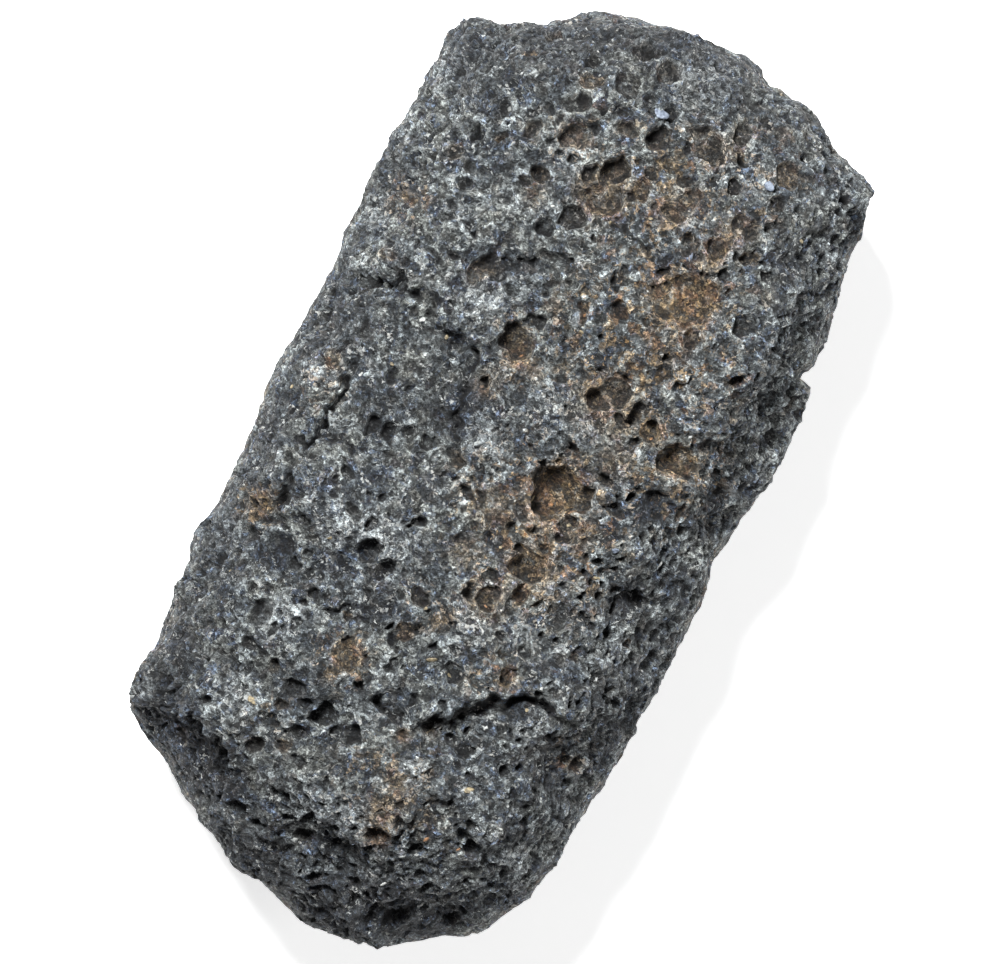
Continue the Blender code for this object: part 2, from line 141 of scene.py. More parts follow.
# Cracks and slots on the top: points, then depth and half width.
CRACKS = (
    (((-21.8, 5), (-22.4, -1), (-22.4, -9), (-22.2, -13.5), (-24.5, -17)), 3, 0.8),
    (((-26.5, -9.5), (-26, -13.5), (-27.5, -16)), 1.2, 0.7),
    (((-21, -16.2), (-24, -17), (-27, -17)), 1.6, 0.7),
    (((-26.3, 47), (-26, 34), (-26.5, 22), (-26, 8)), 1.2, 0.9),
    (((-28, 44), (-27.8, 30), (-28.2, 16)), 0.8, 0.6),
    (((-27, -14), (-27.2, -22), (-27.8, -28)), 1, 0.8),
    (((24, 47), (26, 43), (27.3, 39)), 1.9, 0.8),
    (((29.5, 8.2), (26.8, 5.2), (26.5, 3)), 1.9, 0.8),
    (((-14.5, -23.8), (-10.5, -22.2), (-8.5, -22.8), (-4, -22.6)), 0.9, 0.5),
    (((-21, -12), (-20, -14.3), (-16.8, -15.6)), 0.9, 0.5),
    (((3, 7.2), (6.5, 6.2), (10.5, 6.9)), 0.8, 0.5),
    (((-26, -48), (-21.3, -44.8), (-19.5, -45)), 1.2, 0.6),
    (((-25.5, 25.7), (-23.5, 27.3), (-21.8, 28.5)), 1.5, 0.7),
    (((-18, 17), (-16.5, 17.1), (-14.5, 17.6)), 0.9, 0.4),
    (((-23, 34), (-21, 35.3), (-19.5, 36.8)), 1.8, 0.6),
    (((-18.5, 36), (-16.3, 36.8), (-14, 38)), 0.9, 0.5),
    (((-1.5, 32.2), (1.2, 32), (5, 31.2)), 1, 0.4),
    (((15.8, 41.2), (17.8, 41.6), (20.3, 42.2)), 1, 0.5),
    (((8.6, 54.6), (10, 54.2), (11.8, 53)), 1.2, 0.5),
    (((-8, -11.2), (-6.9, -10.6), (-5.6, -9.9)), 1.3, 0.4),
    (((-2.2, -30.9), (0.6, -31.6), (2.4, -31.9)), 1.5, 0.5),
    (((-13, -39.5), (-11.6, -39), (-9.9, -38.2)), 0.9, 0.4),
    (((-21.5, -33.5), (-19.4, -34), (-17.8, -34.9)), 1.1, 0.5),
    (((2.3, -54.4), (3.5, -54.2), (4.8, -54.1)), 1.2, 0.5),
    (((26, 22.6), (27, 20.8), (28, 18.6)), 1.3, 0.7),
)

# Share of its length over which a step or a crack dies away at each end.
LINE_FADE = 0.18

# Grooves and cracks come and go: usual depth, swing, wavelength, and the least and the most.
BROKEN_DEPTH, BROKEN_SWING, BROKEN_WAVE, BROKEN_RANGE = 0.85, 1.1, 3.0, (0.15, 1.3)

# Swells and dips of the top: place, radius and height.
SWELLS = (
    ((2.5, -41), 6, 1.9), ((-16, -12.5), 5.5, 1), ((-16, -26), 5, 0.9), ((-11, 17), 4.5, 1.1),
    ((16.5, 19.5), 5, 1), ((-25.5, 1.5), 3.5, 1), ((-27.2, -42), 2.2, 1.9),
    ((-24.5, -12), 2.8, 1.1), ((-24.3, -15.6), 1.6, 0.9), ((2, -25), 5, 0.8), ((21, -7.5), 4, -1.7),
    ((-9, 3), 4, -1), ((-18, -48), 6, -1.6), ((4, 30), 8, 0.7), ((9.5, -31.5), 4, -1.3),
    ((16, -52.5), 5, -0.9), ((-24.8, -41), 2.4, -2.4), ((9.8, -40), 2.5, -0.8),
    ((18.8, 4.2), 3, -1), ((-23.3, 13.4), 2.6, -1), ((-13, 21), 3, -0.9), ((8, 0.3), 4.5, -1.2),
    ((7.5, 13.5), 4.5, -0.9), ((-4, 36.5), 4.5, -0.9), ((10.5, 27.5), 4.5, -0.8),
    ((-4, -36.5), 4, -1), ((-26.8, 6), 2.2, -1.2), ((23.5, -25), 3.5, -0.8), ((14, 40), 4, 0.6),
    ((-6, 51.5), 3.5, -0.9),
)

# Larger gas hollows of the top: x, y, mouth radius and depth, then how rusty, if it is.
HOLLOWS = (
    # far left quarter
    (-7, 48.3, 1.5, 2.2, 0.2), (-6.2, 52.9, 2, 1.6, 0.2), (-4.6, 53.6, 1.1, 1.3),
    (-2.8, 51.5, 1.6, 1.4, 0.3), (-11.8, 48.8, 1.2, 1.1, 0.1), (-10.7, 46.8, 1.5, 0.9, 0.6),
    (-3.6, 47.5, 0.9, 0.8), (-10.9, 44.1, 1.2, 1.7, 0.1), (-14.1, 41.5, 0.9, 1.6),
    (-12.3, 42.6, 0.9, 0.9, 0.1), (-12.2, 40.9, 0.9, 0.8, 0.2), (-4.5, 43.3, 1.3, 1.1, 0.5),
    (-0.6, 43.9, 1.7, 1.6, 0.3), (-19.4, 42.5, 0.7, 1.3), (-19.2, 39.4, 1.1, 2, 0.1),
    (-17.2, 49.4, 1.5, 1.3, 0.3), (-9.3, 40, 1.9, 1.2, 0.6), (-14.5, 38.1, 1.3, 1.1, 0.4),
    (-12.2, 38, 0.8, 1.1), (-17.8, 36, 1, 1.2, 0.9), (-6, 36.9, 1.2, 2.9, 0.1),
    (-3.2, 38.6, 2, 1.9, 0.7), (-3, 35.6, 1.1, 1.3, 0.5), (-3.6, 33.9, 2.2, 1.2, 0.7),
    (-11.4, 33.8, 1.4, 1.5, 0.6), (-12.8, 32.3, 0.8, 1, 0.2), (-5.5, 31.4, 1.6, 2, 0.2),
    (-24.6, 44.1, 0.7, 0.8), (-21.3, 43.4, 0.6, 0.7), (-23, 45.2, 0.8, 0.8),
    (-22.2, 31.6, 1.2, 1.1, 0.4), (-19, 46.4, 1, 0.7, 0.7), (-24.2, 36.4, 0.6, 0.8),
    (-19.4, 31, 0.8, 0.9), (-8, 28.2, 1.3, 1.3), (-24.9, 29, 0.9, 0.9), (-19.1, 28.9, 1.2, 1.2),
    (-21.7, 30.1, 0.7, 0.9),
    # far right quarter
    (12.2, 50.9, 0.9, 1.6), (10.6, 51.6, 1, 0.8), (8.2, 48.3, 1.5, 1, 0.4),
    (4, 46.8, 1.5, 1.4, 0.5), (6.1, 45.3, 1.5, 1.5, 0.4), (10, 45.8, 1, 1.1, 0.1),
    (15.5, 46.6, 1.8, 1.1, 0.6), (10.3, 42.6, 1.2, 1.3, 0.2), (16, 42.8, 1.3, 0.9, 0.2),
    (18.8, 43.6, 0.8, 0.7), (22.4, 48, 1.5, 1.8), (24.1, 46.3, 1, 1), (5.9, 38.6, 1.6, 1.2, 0.7),
    (4.9, 36.7, 1.5, 1.1, 0.7), (0.5, 39.8, 1, 1.1, 0.3), (0.4, 37.4, 1.5, 1.2, 0.7),
    (4.9, 40.8, 0.9, 0.9), (12.6, 38.6, 1.3, 1.2, 0.5), (14.6, 38.8, 1.2, 1.2, 0.4),
    (16.2, 36.1, 1.3, 1, 0.5), (11.7, 34.8, 1.7, 1.3, 0.8), (8.5, 34, 1.2, 0.9, 0.3),
    (13.7, 32.7, 1.1, 2), (18.5, 34.7, 0.8, 1.2), (25.2, 35.2, 0.9, 1.1), (24.3, 42.3, 0.9, 0.9),
    (23.8, 39.3, 0.8, 0.8), (1.2, 30.8, 0.8, 0.6), (11.4, 28.6, 2.9, 1.2, 1),
    (8.9, 26.7, 1.9, 1, 0.8), (18.7, 28.3, 1.5, 1.3), (13.9, 24, 1.5, 1.3, 0.7),
    (25.5, 24.1, 1, 1.1),
    # middle left
    (-24.3, 26.4, 1.2, 1), (-12.3, 21.6, 1.6, 1.4, 0.2), (-10.3, 22.3, 1, 1.1),
    (-13, 20, 1.5, 0.7, 0.5), (-21.1, 20.1, 0.6, 0.9), (-5.4, 15.3, 2.1, 1.9, 0.4),
    (-4.6, 13.9, 1.4, 1.1, 0.8), (-7.8, 17, 0.6, 0.6), (-11, 14.5, 0.6, 0.8), (-24.3, 14.5, 1.5, 2),
    (-22.6, 14.9, 1.2, 1.8), (-18.2, 12.5, 0.8, 1.1), (-6.8, 11, 0.8, 0.8),
    (-27.1, 6.6, 1.5, 1.2, 0.2), (-26.2, 4.6, 0.6, 1.1), (-22.3, 8, 1.4, 0.9, 0.1),
    (-16.8, 4.3, 0.9, 1.2), (-14.6, 3.9, 0.6, 1.3), (-22.3, 0.6, 0.9, 1.1), (-16.6, -1.6, 1.3, 1.4),
    (-14.6, -1.7, 1.1, 1.2), (-11.8, -0.6, 1, 1.5), (-9.4, -0.9, 0.9, 1.2), (-20.2, -4.8, 1.2, 0.9),
    (-12.6, -3.8, 0.5, 0.8), (-11.7, -9, 0.6, 0.7), (-13.6, -12, 1.2, 1, 0.1), (-21, -13, 0.9, 0.8),
    (-10, -15.9, 1.7, 1), (-7.3, -16.4, 1.2, 1.2), (-9, -18, 0.7, 1), (-12, -17.9, 1.5, 0.8),
    (-16.7, -18.9, 0.9, 1.1), (-18.4, -18.7, 0.5, 0.6), (-15.3, -20.8, 0.7, 0.7),
    (-20.3, -20.7, 2.2, 0.7), (-1.4, -17.7, 1.1, 1.6, 0.3), (-4.5, -18.4, 0.6, 0.8),
    (-1.8, -22.2, 1.2, 1.3, 0.7), (-3.1, -20.6, 1.3, 0.6), (-9, -23.3, 0.7, 0.8, 0.9),
    (-7, -27.8, 1.9, 1, 0.9), (-19, -24.6, 1.1, 1), (-20.8, -25.5, 0.8, 0.8),
    (-18.8, -27.6, 1.6, 1.5), (-16.5, -29, 0.8, 1.1), (-15.2, -29.7, 0.7, 0.8),
    (-24.6, -19.6, 1.1, 1.1), (-1.5, -26.7, 0.7, 0.9), (-3.7, -29, 0.8, 0.9),
    # middle right
    (4.5, 23.3, 1.5, 1.5), (2.8, 21.4, 0.7, 0.8), (0.8, 20.6, 0.7, 0.8, 0.8),
    (0.5, 22, 0.9, 0.9, 0.8), (2.9, 25.6, 0.7, 0.9), (20.9, 21.9, 0.9, 1.2, 0.7),
    (28.3, 22, 1.5, 1.2, 0.3), (27.4, 20.2, 1, 0.9), (23.7, 17.2, 1.1, 1.2),
    (9.3, 17.9, 1.4, 0.9, 0.2), (12.3, 19.2, 1.4, 0.7), (5.4, 18.1, 1.5, 0.7), (14.8, 18, 1, 0.8),
    (12.1, 13.5, 1.2, 1.2), (10.3, 11.7, 1, 1.1, 0.3), (14.3, 12, 1.4, 0.9, 1),
    (6.5, 12.6, 1.7, 1.5, 0.7), (8.6, 14.3, 2, 1.2, 0.5), (18.6, 10.4, 2.4, 2.2, 0.9),
    (21, 13, 1.1, 0.8, 0.3), (23.4, 11.2, 0.9, 0.9), (24.9, 9.3, 0.9, 0.7, 0.6),
    (23.3, 14.2, 0.6, 0.7), (27.3, 16.4, 0.9, 0.9), (27.5, 5.8, 1.1, 1.6),
    (11.9, 4.5, 0.9, 1.2, 0.4), (8, 7.8, 0.7, 0.6), (7.6, 0.6, 3.1, 2.5, 1),
    (5, 1.2, 1.6, 1.3, 0.8), (10.2, 1.2, 1.8, 1.6, 0.8), (5.7, 4.1, 0.6, 0.5, 0.9),
    (14.3, 2, 0.8, 1), (15.6, 1.7, 0.6, 0.8), (21.2, 1.5, 0.7, 0.9, 0.6), (8.3, -8.9, 2.3, 2, 0.9),
    (7.2, -7, 0.9, 1, 0.2), (8.8, -6.3, 0.8, 0.9), (4, -5.5, 0.7, 0.9), (8.8, -12, 1.2, 1.2, 0.8),
    (14.1, -13, 0.9, 1.3), (14, -11.7, 1.5, 0.7, 0.1), (3.3, -14.3, 1.5, 1.3, 0.6),
    (5.3, -14.5, 1.4, 1.1, 0.7), (3.9, -16, 0.6, 0.7), (8.8, -17.4, 0.7, 0.8),
    (12.3, -18.3, 0.8, 0.7), (9.8, -19.5, 0.7, 0.8), (11.5, -21.8, 1, 1, 0.9),
    (19.6, -8.6, 0.8, 1.1), (21.2, -6.6, 1.5, 1.3), (15.5, -4.6, 0.8, 1), (17.7, -3.3, 0.6, 0.7),
    (23, -11.8, 0.8, 0.9, 0.9), (26.5, -13.1, 1, 1), (25.5, -9.8, 0.9, 1), (18, -16, 0.6, 0.6, 0.4),
    (21.3, -17.2, 0.9, 0.7), (21.7, -26.8, 0.9, 1.6), (19.5, -25.7, 0.8, 1.1),
    (23.8, -27.5, 1.2, 0.9, 0.6), (26, -23.5, 0.6, 0.7),
    # near left quarter
    (-18.4, -31.6, 0.9, 1.8, 0.1), (-16.8, -34.3, 0.7, 0.8), (-14.9, -34.5, 0.6, 0.9),
    (-14.4, -32.6, 1, 1.2, 0.3), (-11, -34, 1, 1), (-11.5, -36.6, 0.8, 0.9, 0.7),
    (-19.9, -39.9, 1, 1.5), (-19, -38.4, 0.6, 0.6), (-12.3, -42.3, 1.2, 1.3, 0.3),
    (-9.3, -40.8, 0.8, 0.8, 0.6), (-6, -35.5, 1.8, 1.6), (-2.3, -36, 1.5, 1.3),
    (-4.3, -36.3, 1.2, 1), (-2.6, -42.6, 0.7, 0.7), (-6.2, -46, 0.8, 1.1), (-7.7, -46, 0.6, 0.8),
    (-10.5, -49.6, 1.4, 0.8), (-1.9, -49.6, 1.2, 1, 0.2), (-21.3, -45.9, 1.1, 0.9, 0.4),
    (-14, -40.3, 1.4, 0.6), (-7.8, -50.5, 0.9, 0.8),
    # near right quarter
    (3.2, -33.2, 0.8, 0.8, 0.6), (12.4, -38, 0.6, 0.9), (15.5, -39.3, 0.7, 0.7, 0.1),
    (20, -39.3, 0.6, 0.6), (21, -36, 0.7, 0.9), (24.3, -34.9, 0.7, 0.8), (16.5, -32, 0.8, 0.8),
    (18.4, -33.3, 0.6, 0.6), (15.3, -40.9, 1.1, 0.9), (17, -42, 1.3, 1.4, 0.1), (10.8, -45, 1, 1.1),
    (6, -45.4, 1.3, 1.3, 0.9), (6.5, -49.2, 0.8, 0.9), (6, -51.5, 0.9, 0.7), (8.5, -51.3, 0.5, 0.6),
    (1, -53, 0.8, 1), (6.6, -53.9, 0.5, 0.6), (14, -48.7, 1, 1.1), (12.9, -47.3, 0.7, 0.7),
    (20.5, -45, 0.9, 1.2), (23.5, -45, 0.6, 0.7), (21.6, -43, 0.7, 0.8), (19.2, -51, 1.4, 1.5),
    (12, -53.8, 1.2, 1.3), (9.4, -55, 1, 1), (16.2, -53.5, 0.7, 0.7), (10.8, -32, 1.3, 1),
)

# ------------------------------------------------------------------ finer shape
# Gas bubbles scattered all through the stone: cell side, smallest and largest radius, salt,
# whether they are kept off the top, where the larger hollows are placed one by one, and the
# deepest that they are cut.
BUBBLES = (
    (9.0, 1.5, 2.9, 71, True, 3.0),
    (4.6, 0.7, 1.9, 81, True, 3.0),
    (3.4, 0.5, 1.4, 86, False, 1.8),
    (2.3, 0.35, 1.0, 91, False, 1.8),
    (1.45, 0.26, 0.68, 101, False, 1.8),
)

# How large the small bubbles are compared with the table: usual share, wavelength and swing of
# the richer and poorer parts of the stone, and the least and the most.
CROWDING, CROWD_WAVES, CROWD_RANGE = 0.9, ((14.0, 0.45), (5.0, 0.3)), (0.3, 1.15)

# The near end is less bubbly than the rest: where it begins, over how far, and by how much.
CALM_FROM, CALM_OVER, CALM_BY = -44.0, 7.0, 0.45

# How much deeper the placed hollows are cut than they look, the deepest compared with the mouth,
# and the deepest cut of all.
DEEPER, DEEPEST_SHARE, DEEPEST = 1.3, 1.4, 3.2

# Broken facets of the surface: side of a facet, height between facets, tilt and salt.
FLAKES = ((3.1, 0.34, 0.16, 111), (1.5, 0.15, 0.16, 131))
FLAKE_FACTORS = (7919, 104729, 1299709, 15485863)

# Crumbly relief of the broken surface: wavelength and height of each size, then how far the
# noise is folded and the level of the fold.
CRUMBLE = ((3.3, 0.38), (1.9, 0.34), (1.05, 0.27), (0.62, 0.2))
FOLD, FOLD_LEVEL = 1.6, 0.42

# How much rough relief is lost inside a hollow, over what depth, and how much the sides keep.
SMOOTHER_INSIDE, INSIDE_DEPTH, SIDE_ROUGHNESS = 0.5, 0.6, 0.3

# Long furrows down the sloping left edge: wavelength and height, and how much longer than wide
# they are.
FURROWS = ((3.2, 1.2), (1.6, 0.7))
FURROW_LENGTH = 8.0

# How far shapes are pushed about to make them irregular: wavelength, reach and salt.
WARP = ((5.0, 0.9, 61), (2.2, 0.42, 64), (1.1, 0.2, 67))
BREAKS = ((5.0, 0.9, 61), (2.2, 1.0, 64), (1.1, 0.55, 67))

# Salts of the other noises, one more for each further size.
WEAR_SALT, FURROW_SALT, CRUMBLE_SALT, CROWD_SALT, BROKEN_SALT = 11, 21, 31, 41, 71

# How a surface faces, as a share of facing that way squarely: where an effect begins, and over
# how much it grows to its full strength. HIDDEN is counted downwards.
UPWARD, LEVEL, HIDDEN = (-0.1, 0.4), (0.0, 0.8), (-0.2, 0.3)
LEFTWARD, SLOPING = (0.45, 0.3), (0.12, 0.2)

# The least upward facing on which hollows are placed, and crystals.
HOLLOW_FACING, CRYSTAL_FACING = 0.25, 0.3

# Edge sharpness of the rounder block that gives the directions in which hollows are sunk.
ROUNDER = 7.0

# Crystals: the flat faces of each one and their distance from its middle, its grid step, its
# size compared with the table, its thickness compared with its width, and the salt of its faces.
CRYSTAL_CUTS, CRYSTAL_FACE, CRYSTAL_GRID = 9, 0.62, 0.34
CRYSTAL_SIZE, CRYSTAL_RISE, CRYSTAL_SALT = 1.1, 0.36, 7

# Share of the points, in hundredths, that lie lower than where the resting patch is cut from.
LOWEST = 0.5

# ------------------------------------------------------------------ looks
# Tinted patches of the top: kind, then x, y, radius and strength of each. A patch is even out to
# near its radius, and the higher the edge number the sharper it ends.
TINTS = {
    "rust": (
        (10.5, 27.5, 4, 0.9), (12.5, 22.5, 2.5, 0.5), (8, 12.5, 4, 0.6), (8, 0, 4.5, 0.8),
        (8, -9, 3.5, 0.6), (19.2, 9.7, 2.2, 0.9), (-3.5, 35, 3.5, 0.7), (-7, -27.8, 2, 0.9),
        (3.2, -33.9, 1.1, 0.9), (-24.2, -15.6, 1.6, 1), (1.5, -4.5, 3, 0.6),
        (11.5, -21.8, 1.4, 0.7), (14.3, 12, 1.6, 1), (-11, 31.5, 1.8, 0.5), (5.3, 37.5, 3, 0.6),
        (-24, 3.4, 1.2, 0.7), (5.5, -14.7, 2.6, 0.6), (-4.5, 13, 1.8, 0.8), (11.8, -2.5, 2.2, 0.6),
        (5.5, -39.5, 2, 0.6), (4.8, -42.5, 2, 0.7), (6, -45.4, 1.4, 0.8), (1.8, -18.7, 1.2, 0.8),
        (-24.4, 24.5, 1.1, 0.7), (-5.5, -1, 1.2, 0.7), (-24, 17.5, 1, 0.6), (8.5, 47.5, 2, 0.4),
        (5.5, 45, 2, 0.5), (12.5, 37.5, 2.2, 0.6), (11.8, 34.3, 1.8, 0.8), (23.8, -27.5, 1.1, 0.6),
        (17.5, -10.2, 1, 0.4), (-5.5, 9, 1.8, 0.5), (14, -8, 1.2, 0.4), (6.2, -31.6, 1, 0.6),
        (0.5, -10.5, 2, 0.5), (8, -4.8, 2.4, 0.3), (-9.5, 40, 1.8, 0.5), (12, 7, 2.2, 0.5),
        (9, 22, 1.5, 0.4),
    ),
    # Slate: dark blue-grey stone, and painted shade where the long sides, the far rim and the near
    # end fall into shade; the wide weak patch over the near end is painted shade only.
    "slate_and_painted_shade": (
        (-28, 26, 5, 0.5), (-28, 8, 6, 0.6), (-28.5, -7, 5, 0.7), (-28, -15, 5, 0.6),
        (-28, -24, 6, 0.6), (-28, -32, 4, 0.7), (-26, -38, 3, 0.8), (-24, -42, 2.5, 1),
        (-21.5, -47, 4.5, 1), (-24, 46, 4, 0.5), (-6, 56, 5, 0.8), (10, 55, 5, 0.3),
        (-20.8, 38.9, 2.3, 0.9), (-19.6, 42.8, 1.5, 0.8), (-23, -44.5, 3, 1), (-13, -48.5, 3, 0.9),
        (-17, -46.5, 3, 1), (-6.3, -20.7, 3.2, 0.8), (-26, -40, 2.5, 0.9), (19.9, -29.3, 5, 0.5),
        (24.3, -16.4, 4, 0.5), (15.7, -20.7, 3.5, 0.4), (10, -52.8, 5, 1), (-25.5, 43, 4, 0.7),
        (-14, 53, 5, 0.9), (-19, 50, 4, 0.8), (0, 56, 5, 0.8), (4, 54, 4, 0.5), (-6, -55, 6, 0.7),
        (-14, -51.5, 5, 0.6), (-27, -43.5, 2.5, 0.8), (-9.5, -33, 3, 0.5), (-5, -55, 4, 0.9),
        (-28, -36, 5, 0.9), (20, 50, 4, 0.2), (18.9, 4.3, 2.7, 0.9), (25, 5.5, 2.2, 0.7),
        (21, -7, 2.8, 0.9), (-18, -47, 4.5, 1), (-7.6, 6.8, 2.2, 1), (-7.2, 3, 2.4, 1),
        (-10, 3, 2.4, 0.8), (-20.3, -20.7, 2.2, 0.8), (-12.6, -18.3, 1.8, 0.9),
        (14.8, -23.6, 2, 0.9), (9.8, -40, 1.9, 0.8), (11.3, -37.5, 1.5, 0.8), (1.5, -48, 2.6, 0.9),
        (-24, -44.5, 2.8, 0.9), (16, -52.5, 5, 0.9), (-25.3, -40.8, 1.5, 0.9),
        (26.5, -20, 1.8, 0.6), (25.5, 45, 1.6, 0.8), (20.5, 37.5, 2.2, 0.6), (-22.5, 46, 2.5, 0.6),
        (-14.5, 46.5, 2, 0.5), (-14, -40.3, 1.6, 0.6), (-20, -4.5, 1.8, 0.5), (-8.5, -10, 2, 0.5),
        (-7, -4, 1.6, 0.5), (20.5, 47.5, 1.8, 0.3), (6, -56, 5, 1), (-4, -55.8, 4, 0.7),
        (-16, 0, 3, 0.4), (26, -10.5, 2.5, 0.5), (9.5, -32, 2, 0.6), (-15, -50.5, 2.5, 0.7),
        (24, -46, 2, 0.4), (22, 27, 2.2, 0.2), (2, -42, 17, 0.12),
    ),
    # Frost: pale frosty stone; the patch at 28.5, 18 on the steep right side is painted light.
    "frost_and_painted_light": (
        (-11, 17.2, 2.8, 0.8), (-10, -12.5, 2.8, 0.9), (-14.5, -14.5, 2.2, 0.9),
        (-17.5, -37.8, 2.8, 0.7), (-16.2, -27, 2.4, 0.8), (15.5, 19.5, 2.6, 0.6),
        (-2.8, 3, 2.2, 0.7), (2, -45, 2.6, 0.8), (4.5, -18, 2.4, 0.9), (-25, 1, 2.2, 0.9),
        (18, 15.5, 1.6, 0.7), (14, 26.5, 1.8, 0.8), (-9.5, 37.5, 2.4, 0.7), (12.3, 44.5, 2.4, 0.7),
        (8, 36.7, 1.8, 0.6), (7, 9.2, 1.8, 0.8), (12, -10, 1.4, 0.8), (22.5, -13, 1.8, 0.6),
        (6.5, -36.8, 1.8, 0.7), (-15.3, -37.4, 1.6, 0.8), (9, -50.3, 1.4, 0.7),
        (17, -25.5, 1.8, 0.6), (-26.5, 22, 2, 0.6), (-27.5, 40, 3, 0.5), (-27, -20, 2.5, 0.2),
        (-22, 38, 1.8, 0.5), (1.5, 10, 2.4, 0.6), (-18.5, 25, 2, 0.4), (13.3, -35.6, 1.3, 1),
        (22, -41, 2.2, 0.6), (-27.3, -42, 1, 0.3), (0.5, 52, 4, 0.4), (-6, -13.5, 2.2, 0.5),
        (-3.5, -47, 2, 0.4), (18, -38.5, 1.6, 0.5), (4.5, 29.5, 2, 0.2), (-21, -36, 2, 0.3),
        (10.5, -15.5, 2, 0.6), (28.5, 18, 4, 0.4), (-13.5, 29, 2, 0.4), (-20.5, -23.5, 1.4, 0.5),
    ),
    "warm": (
        (9, 22, 13, 1), (7, -4, 12, 0.9), (3, 38, 10, 0.8), (5, -40, 7, 0.7), (-4, 14, 5, 0.7),
        (-24, 0, 4, 0.5), (18, 9, 8, 0.8), (12, 45, 7, 0.6), (-7, -28, 4, 0.9),
        (-24.5, -15.5, 3, 0.9), (10, -22, 4, 0.6), (-24.5, 24, 3, 0.7), (-9, 40, 5, 0.6),
        (22.5, -27, 3, 0.6), (-12, -38, 3, 0.5), (0, -18, 4, 0.6),
    ),
    "blue": (
        (-21.5, -46, 4.2, 1), (19.2, -36.5, 1.2, 1), (12.8, 15.4, 1.2, 0.9), (5.5, 18, 1.3, 0.8),
        (12.4, 19.1, 1.1, 0.8), (8, 7.9, 0.9, 0.8), (12.4, 8.9, 1.2, 0.8), (10.8, -4.9, 0.9, 0.9),
        (3, -8.2, 1.1, 0.9), (-14, -19.5, 1.1, 0.9), (-3, -20.6, 1.4, 0.8), (-19.8, -21, 1.8, 0.8),
        (8.5, -44.8, 1, 0.8), (2.7, 7.4, 1, 0.7), (-13.5, 1.7, 1.4, 0.7), (14, -19, 0.9, 0.8),
        (-7.6, 5, 2.2, 0.9), (17.8, -18, 1.3, 0.6), (-19, -46.5, 2.4, 0.7), (9, 20, 0.9, 0.7),
        (19.3, 17.6, 1.4, 0.6), (7.8, 38.4, 1, 0.7), (-21.3, 38.3, 1.7, 0.9),
        (-14.5, 45.5, 1.6, 0.6), (12.5, -7.8, 0.8, 0.7), (15.5, -41, 1, 0.7), (8.4, 30, 1, 0.7),
        (20, 37.5, 1.6, 0.5), (-6.5, -4.3, 1.3, 0.6),
    ),
}
TINT_EDGE = 4

# The sides are this warm all over, a hollow this deep gets the most painted shade, and the height
# of the ground round a point, from which its lift is measured, is evened out so many times. The
# material paints shade into places of low lift and light onto places of high lift.
SIDE_WARMTH, DARK_DEPTH, LIFT_ROUNDS = 0.5, 2.0, 10

# Crystals set in the top: x, y, length, width and turn in degrees.
CRYSTALS = {
    "pale_blue": (
        (-1.2, 46.5, 2.3, 1.5, 20), (14.2, 44.5, 1.5, 1.3, 70), (16.8, -2.4, 1, 0.7, 30),
    ),
    "white": (
        (-2.6, -49.8, 0.9, 0.7, 10), (22.3, -1.7, 0.9, 0.5, 60), (6.5, 26.8, 1.1, 0.4, 15),
        (15.9, -21.1, 0.6, 0.5, 0), (18.7, 13.5, 0.5, 0.4, 30), (25.3, 15.7, 0.4, 0.3, 80),
        (-16.5, 12.2, 0.9, 0.6, 40), (-20.5, 3.3, 0.8, 0.4, 70), (-10.4, 13.2, 0.5, 0.4, 0),
        (9.2, -50.5, 0.9, 0.6, 20), (3.1, 45.3, 0.5, 0.4, 50), (-8.6, 31.2, 0.6, 0.4, 30),
    ),
    "cream": (
        (13.3, -35.7, 1.4, 1.1, 35), (-15, -15.9, 1.1, 0.5, 10), (-15, -37.5, 1.8, 0.8, 160),
        (2.3, -23.5, 1.5, 0.5, 25), (5.2, -24.3, 1.3, 0.5, 170), (4.9, -1.4, 1.1, 0.5, 45),
        (1.6, 19, 0.8, 0.5, 0), (2.9, 34.9, 0.6, 0.4, 30), (-1.3, 32.4, 0.7, 0.5, 60),
        (20.5, 40.4, 0.7, 0.5, 20), (-12.8, 11.5, 0.7, 0.5, 80), (-17.5, 5.9, 0.6, 0.4, 10),
        (4.2, -8.1, 0.6, 0.4, 50), (12.1, -20.3, 0.6, 0.4, 0), (15.4, -24.3, 0.6, 0.5, 30),
        (-0.8, -18.7, 0.6, 0.4, 70), (16, -6.5, 1, 0.35, 20), (-24.2, -24.7, 0.7, 0.5, 60),
        (-24.7, -18.9, 0.6, 0.4, 20), (-27.2, -1.9, 0.6, 0.4, 40), (10.4, -2.1, 0.7, 0.5, 30),
    ),
    "amber": (
        (5.8, -5.4, 0.8, 0.6, 0), (15.3, -42.6, 0.6, 0.5, 40), (11.2, -43, 0.8, 0.5, 70),
        (12.9, 33.9, 0.6, 0.5, 20), (-3.9, 13.6, 0.6, 0.5, 50), (20.1, 10.8, 0.6, 0.4, 10),
        (7.3, -0.9, 0.7, 0.5, 30), (14.6, 11.5, 0.7, 0.5, 60), (-24.5, 24.8, 0.7, 0.5, 0),
        (0.9, 21.1, 0.6, 0.5, 20), (-17.8, 35.7, 0.6, 0.4, 80), (5.5, -15, 0.6, 0.5, 10),
    ),
}

# Minerals of the crystals: darker colour, paler colour and roughness.
MINERALS = {
    "pale_blue": ((84, 92, 106), (136, 146, 160), 0.5),
    "white": ((124, 127, 126), (176, 178, 174), 0.45),
    "cream": ((84, 76, 60), (148, 136, 108), 0.6),
    "amber": ((84, 60, 42), (136, 100, 66), 0.5),
}

# Noises of the materials: waves in a millimetre, detail, roughness and distortion.
NOISES = {
    "broad": (0.16, 2.0, 0.6, 0.0),
    "mottle": (0.5, 5.0, 0.76, 0.6),
    "clouds": (0.34, 4.0, 0.76, 0.5),
    "crisp": (1.2, 4.0, 0.74, 0.4),
    "grit": (3.0, 3.0, 0.8, 0.4),
    "mineral": (3.0, 3.0, 0.7, 0.0),
}

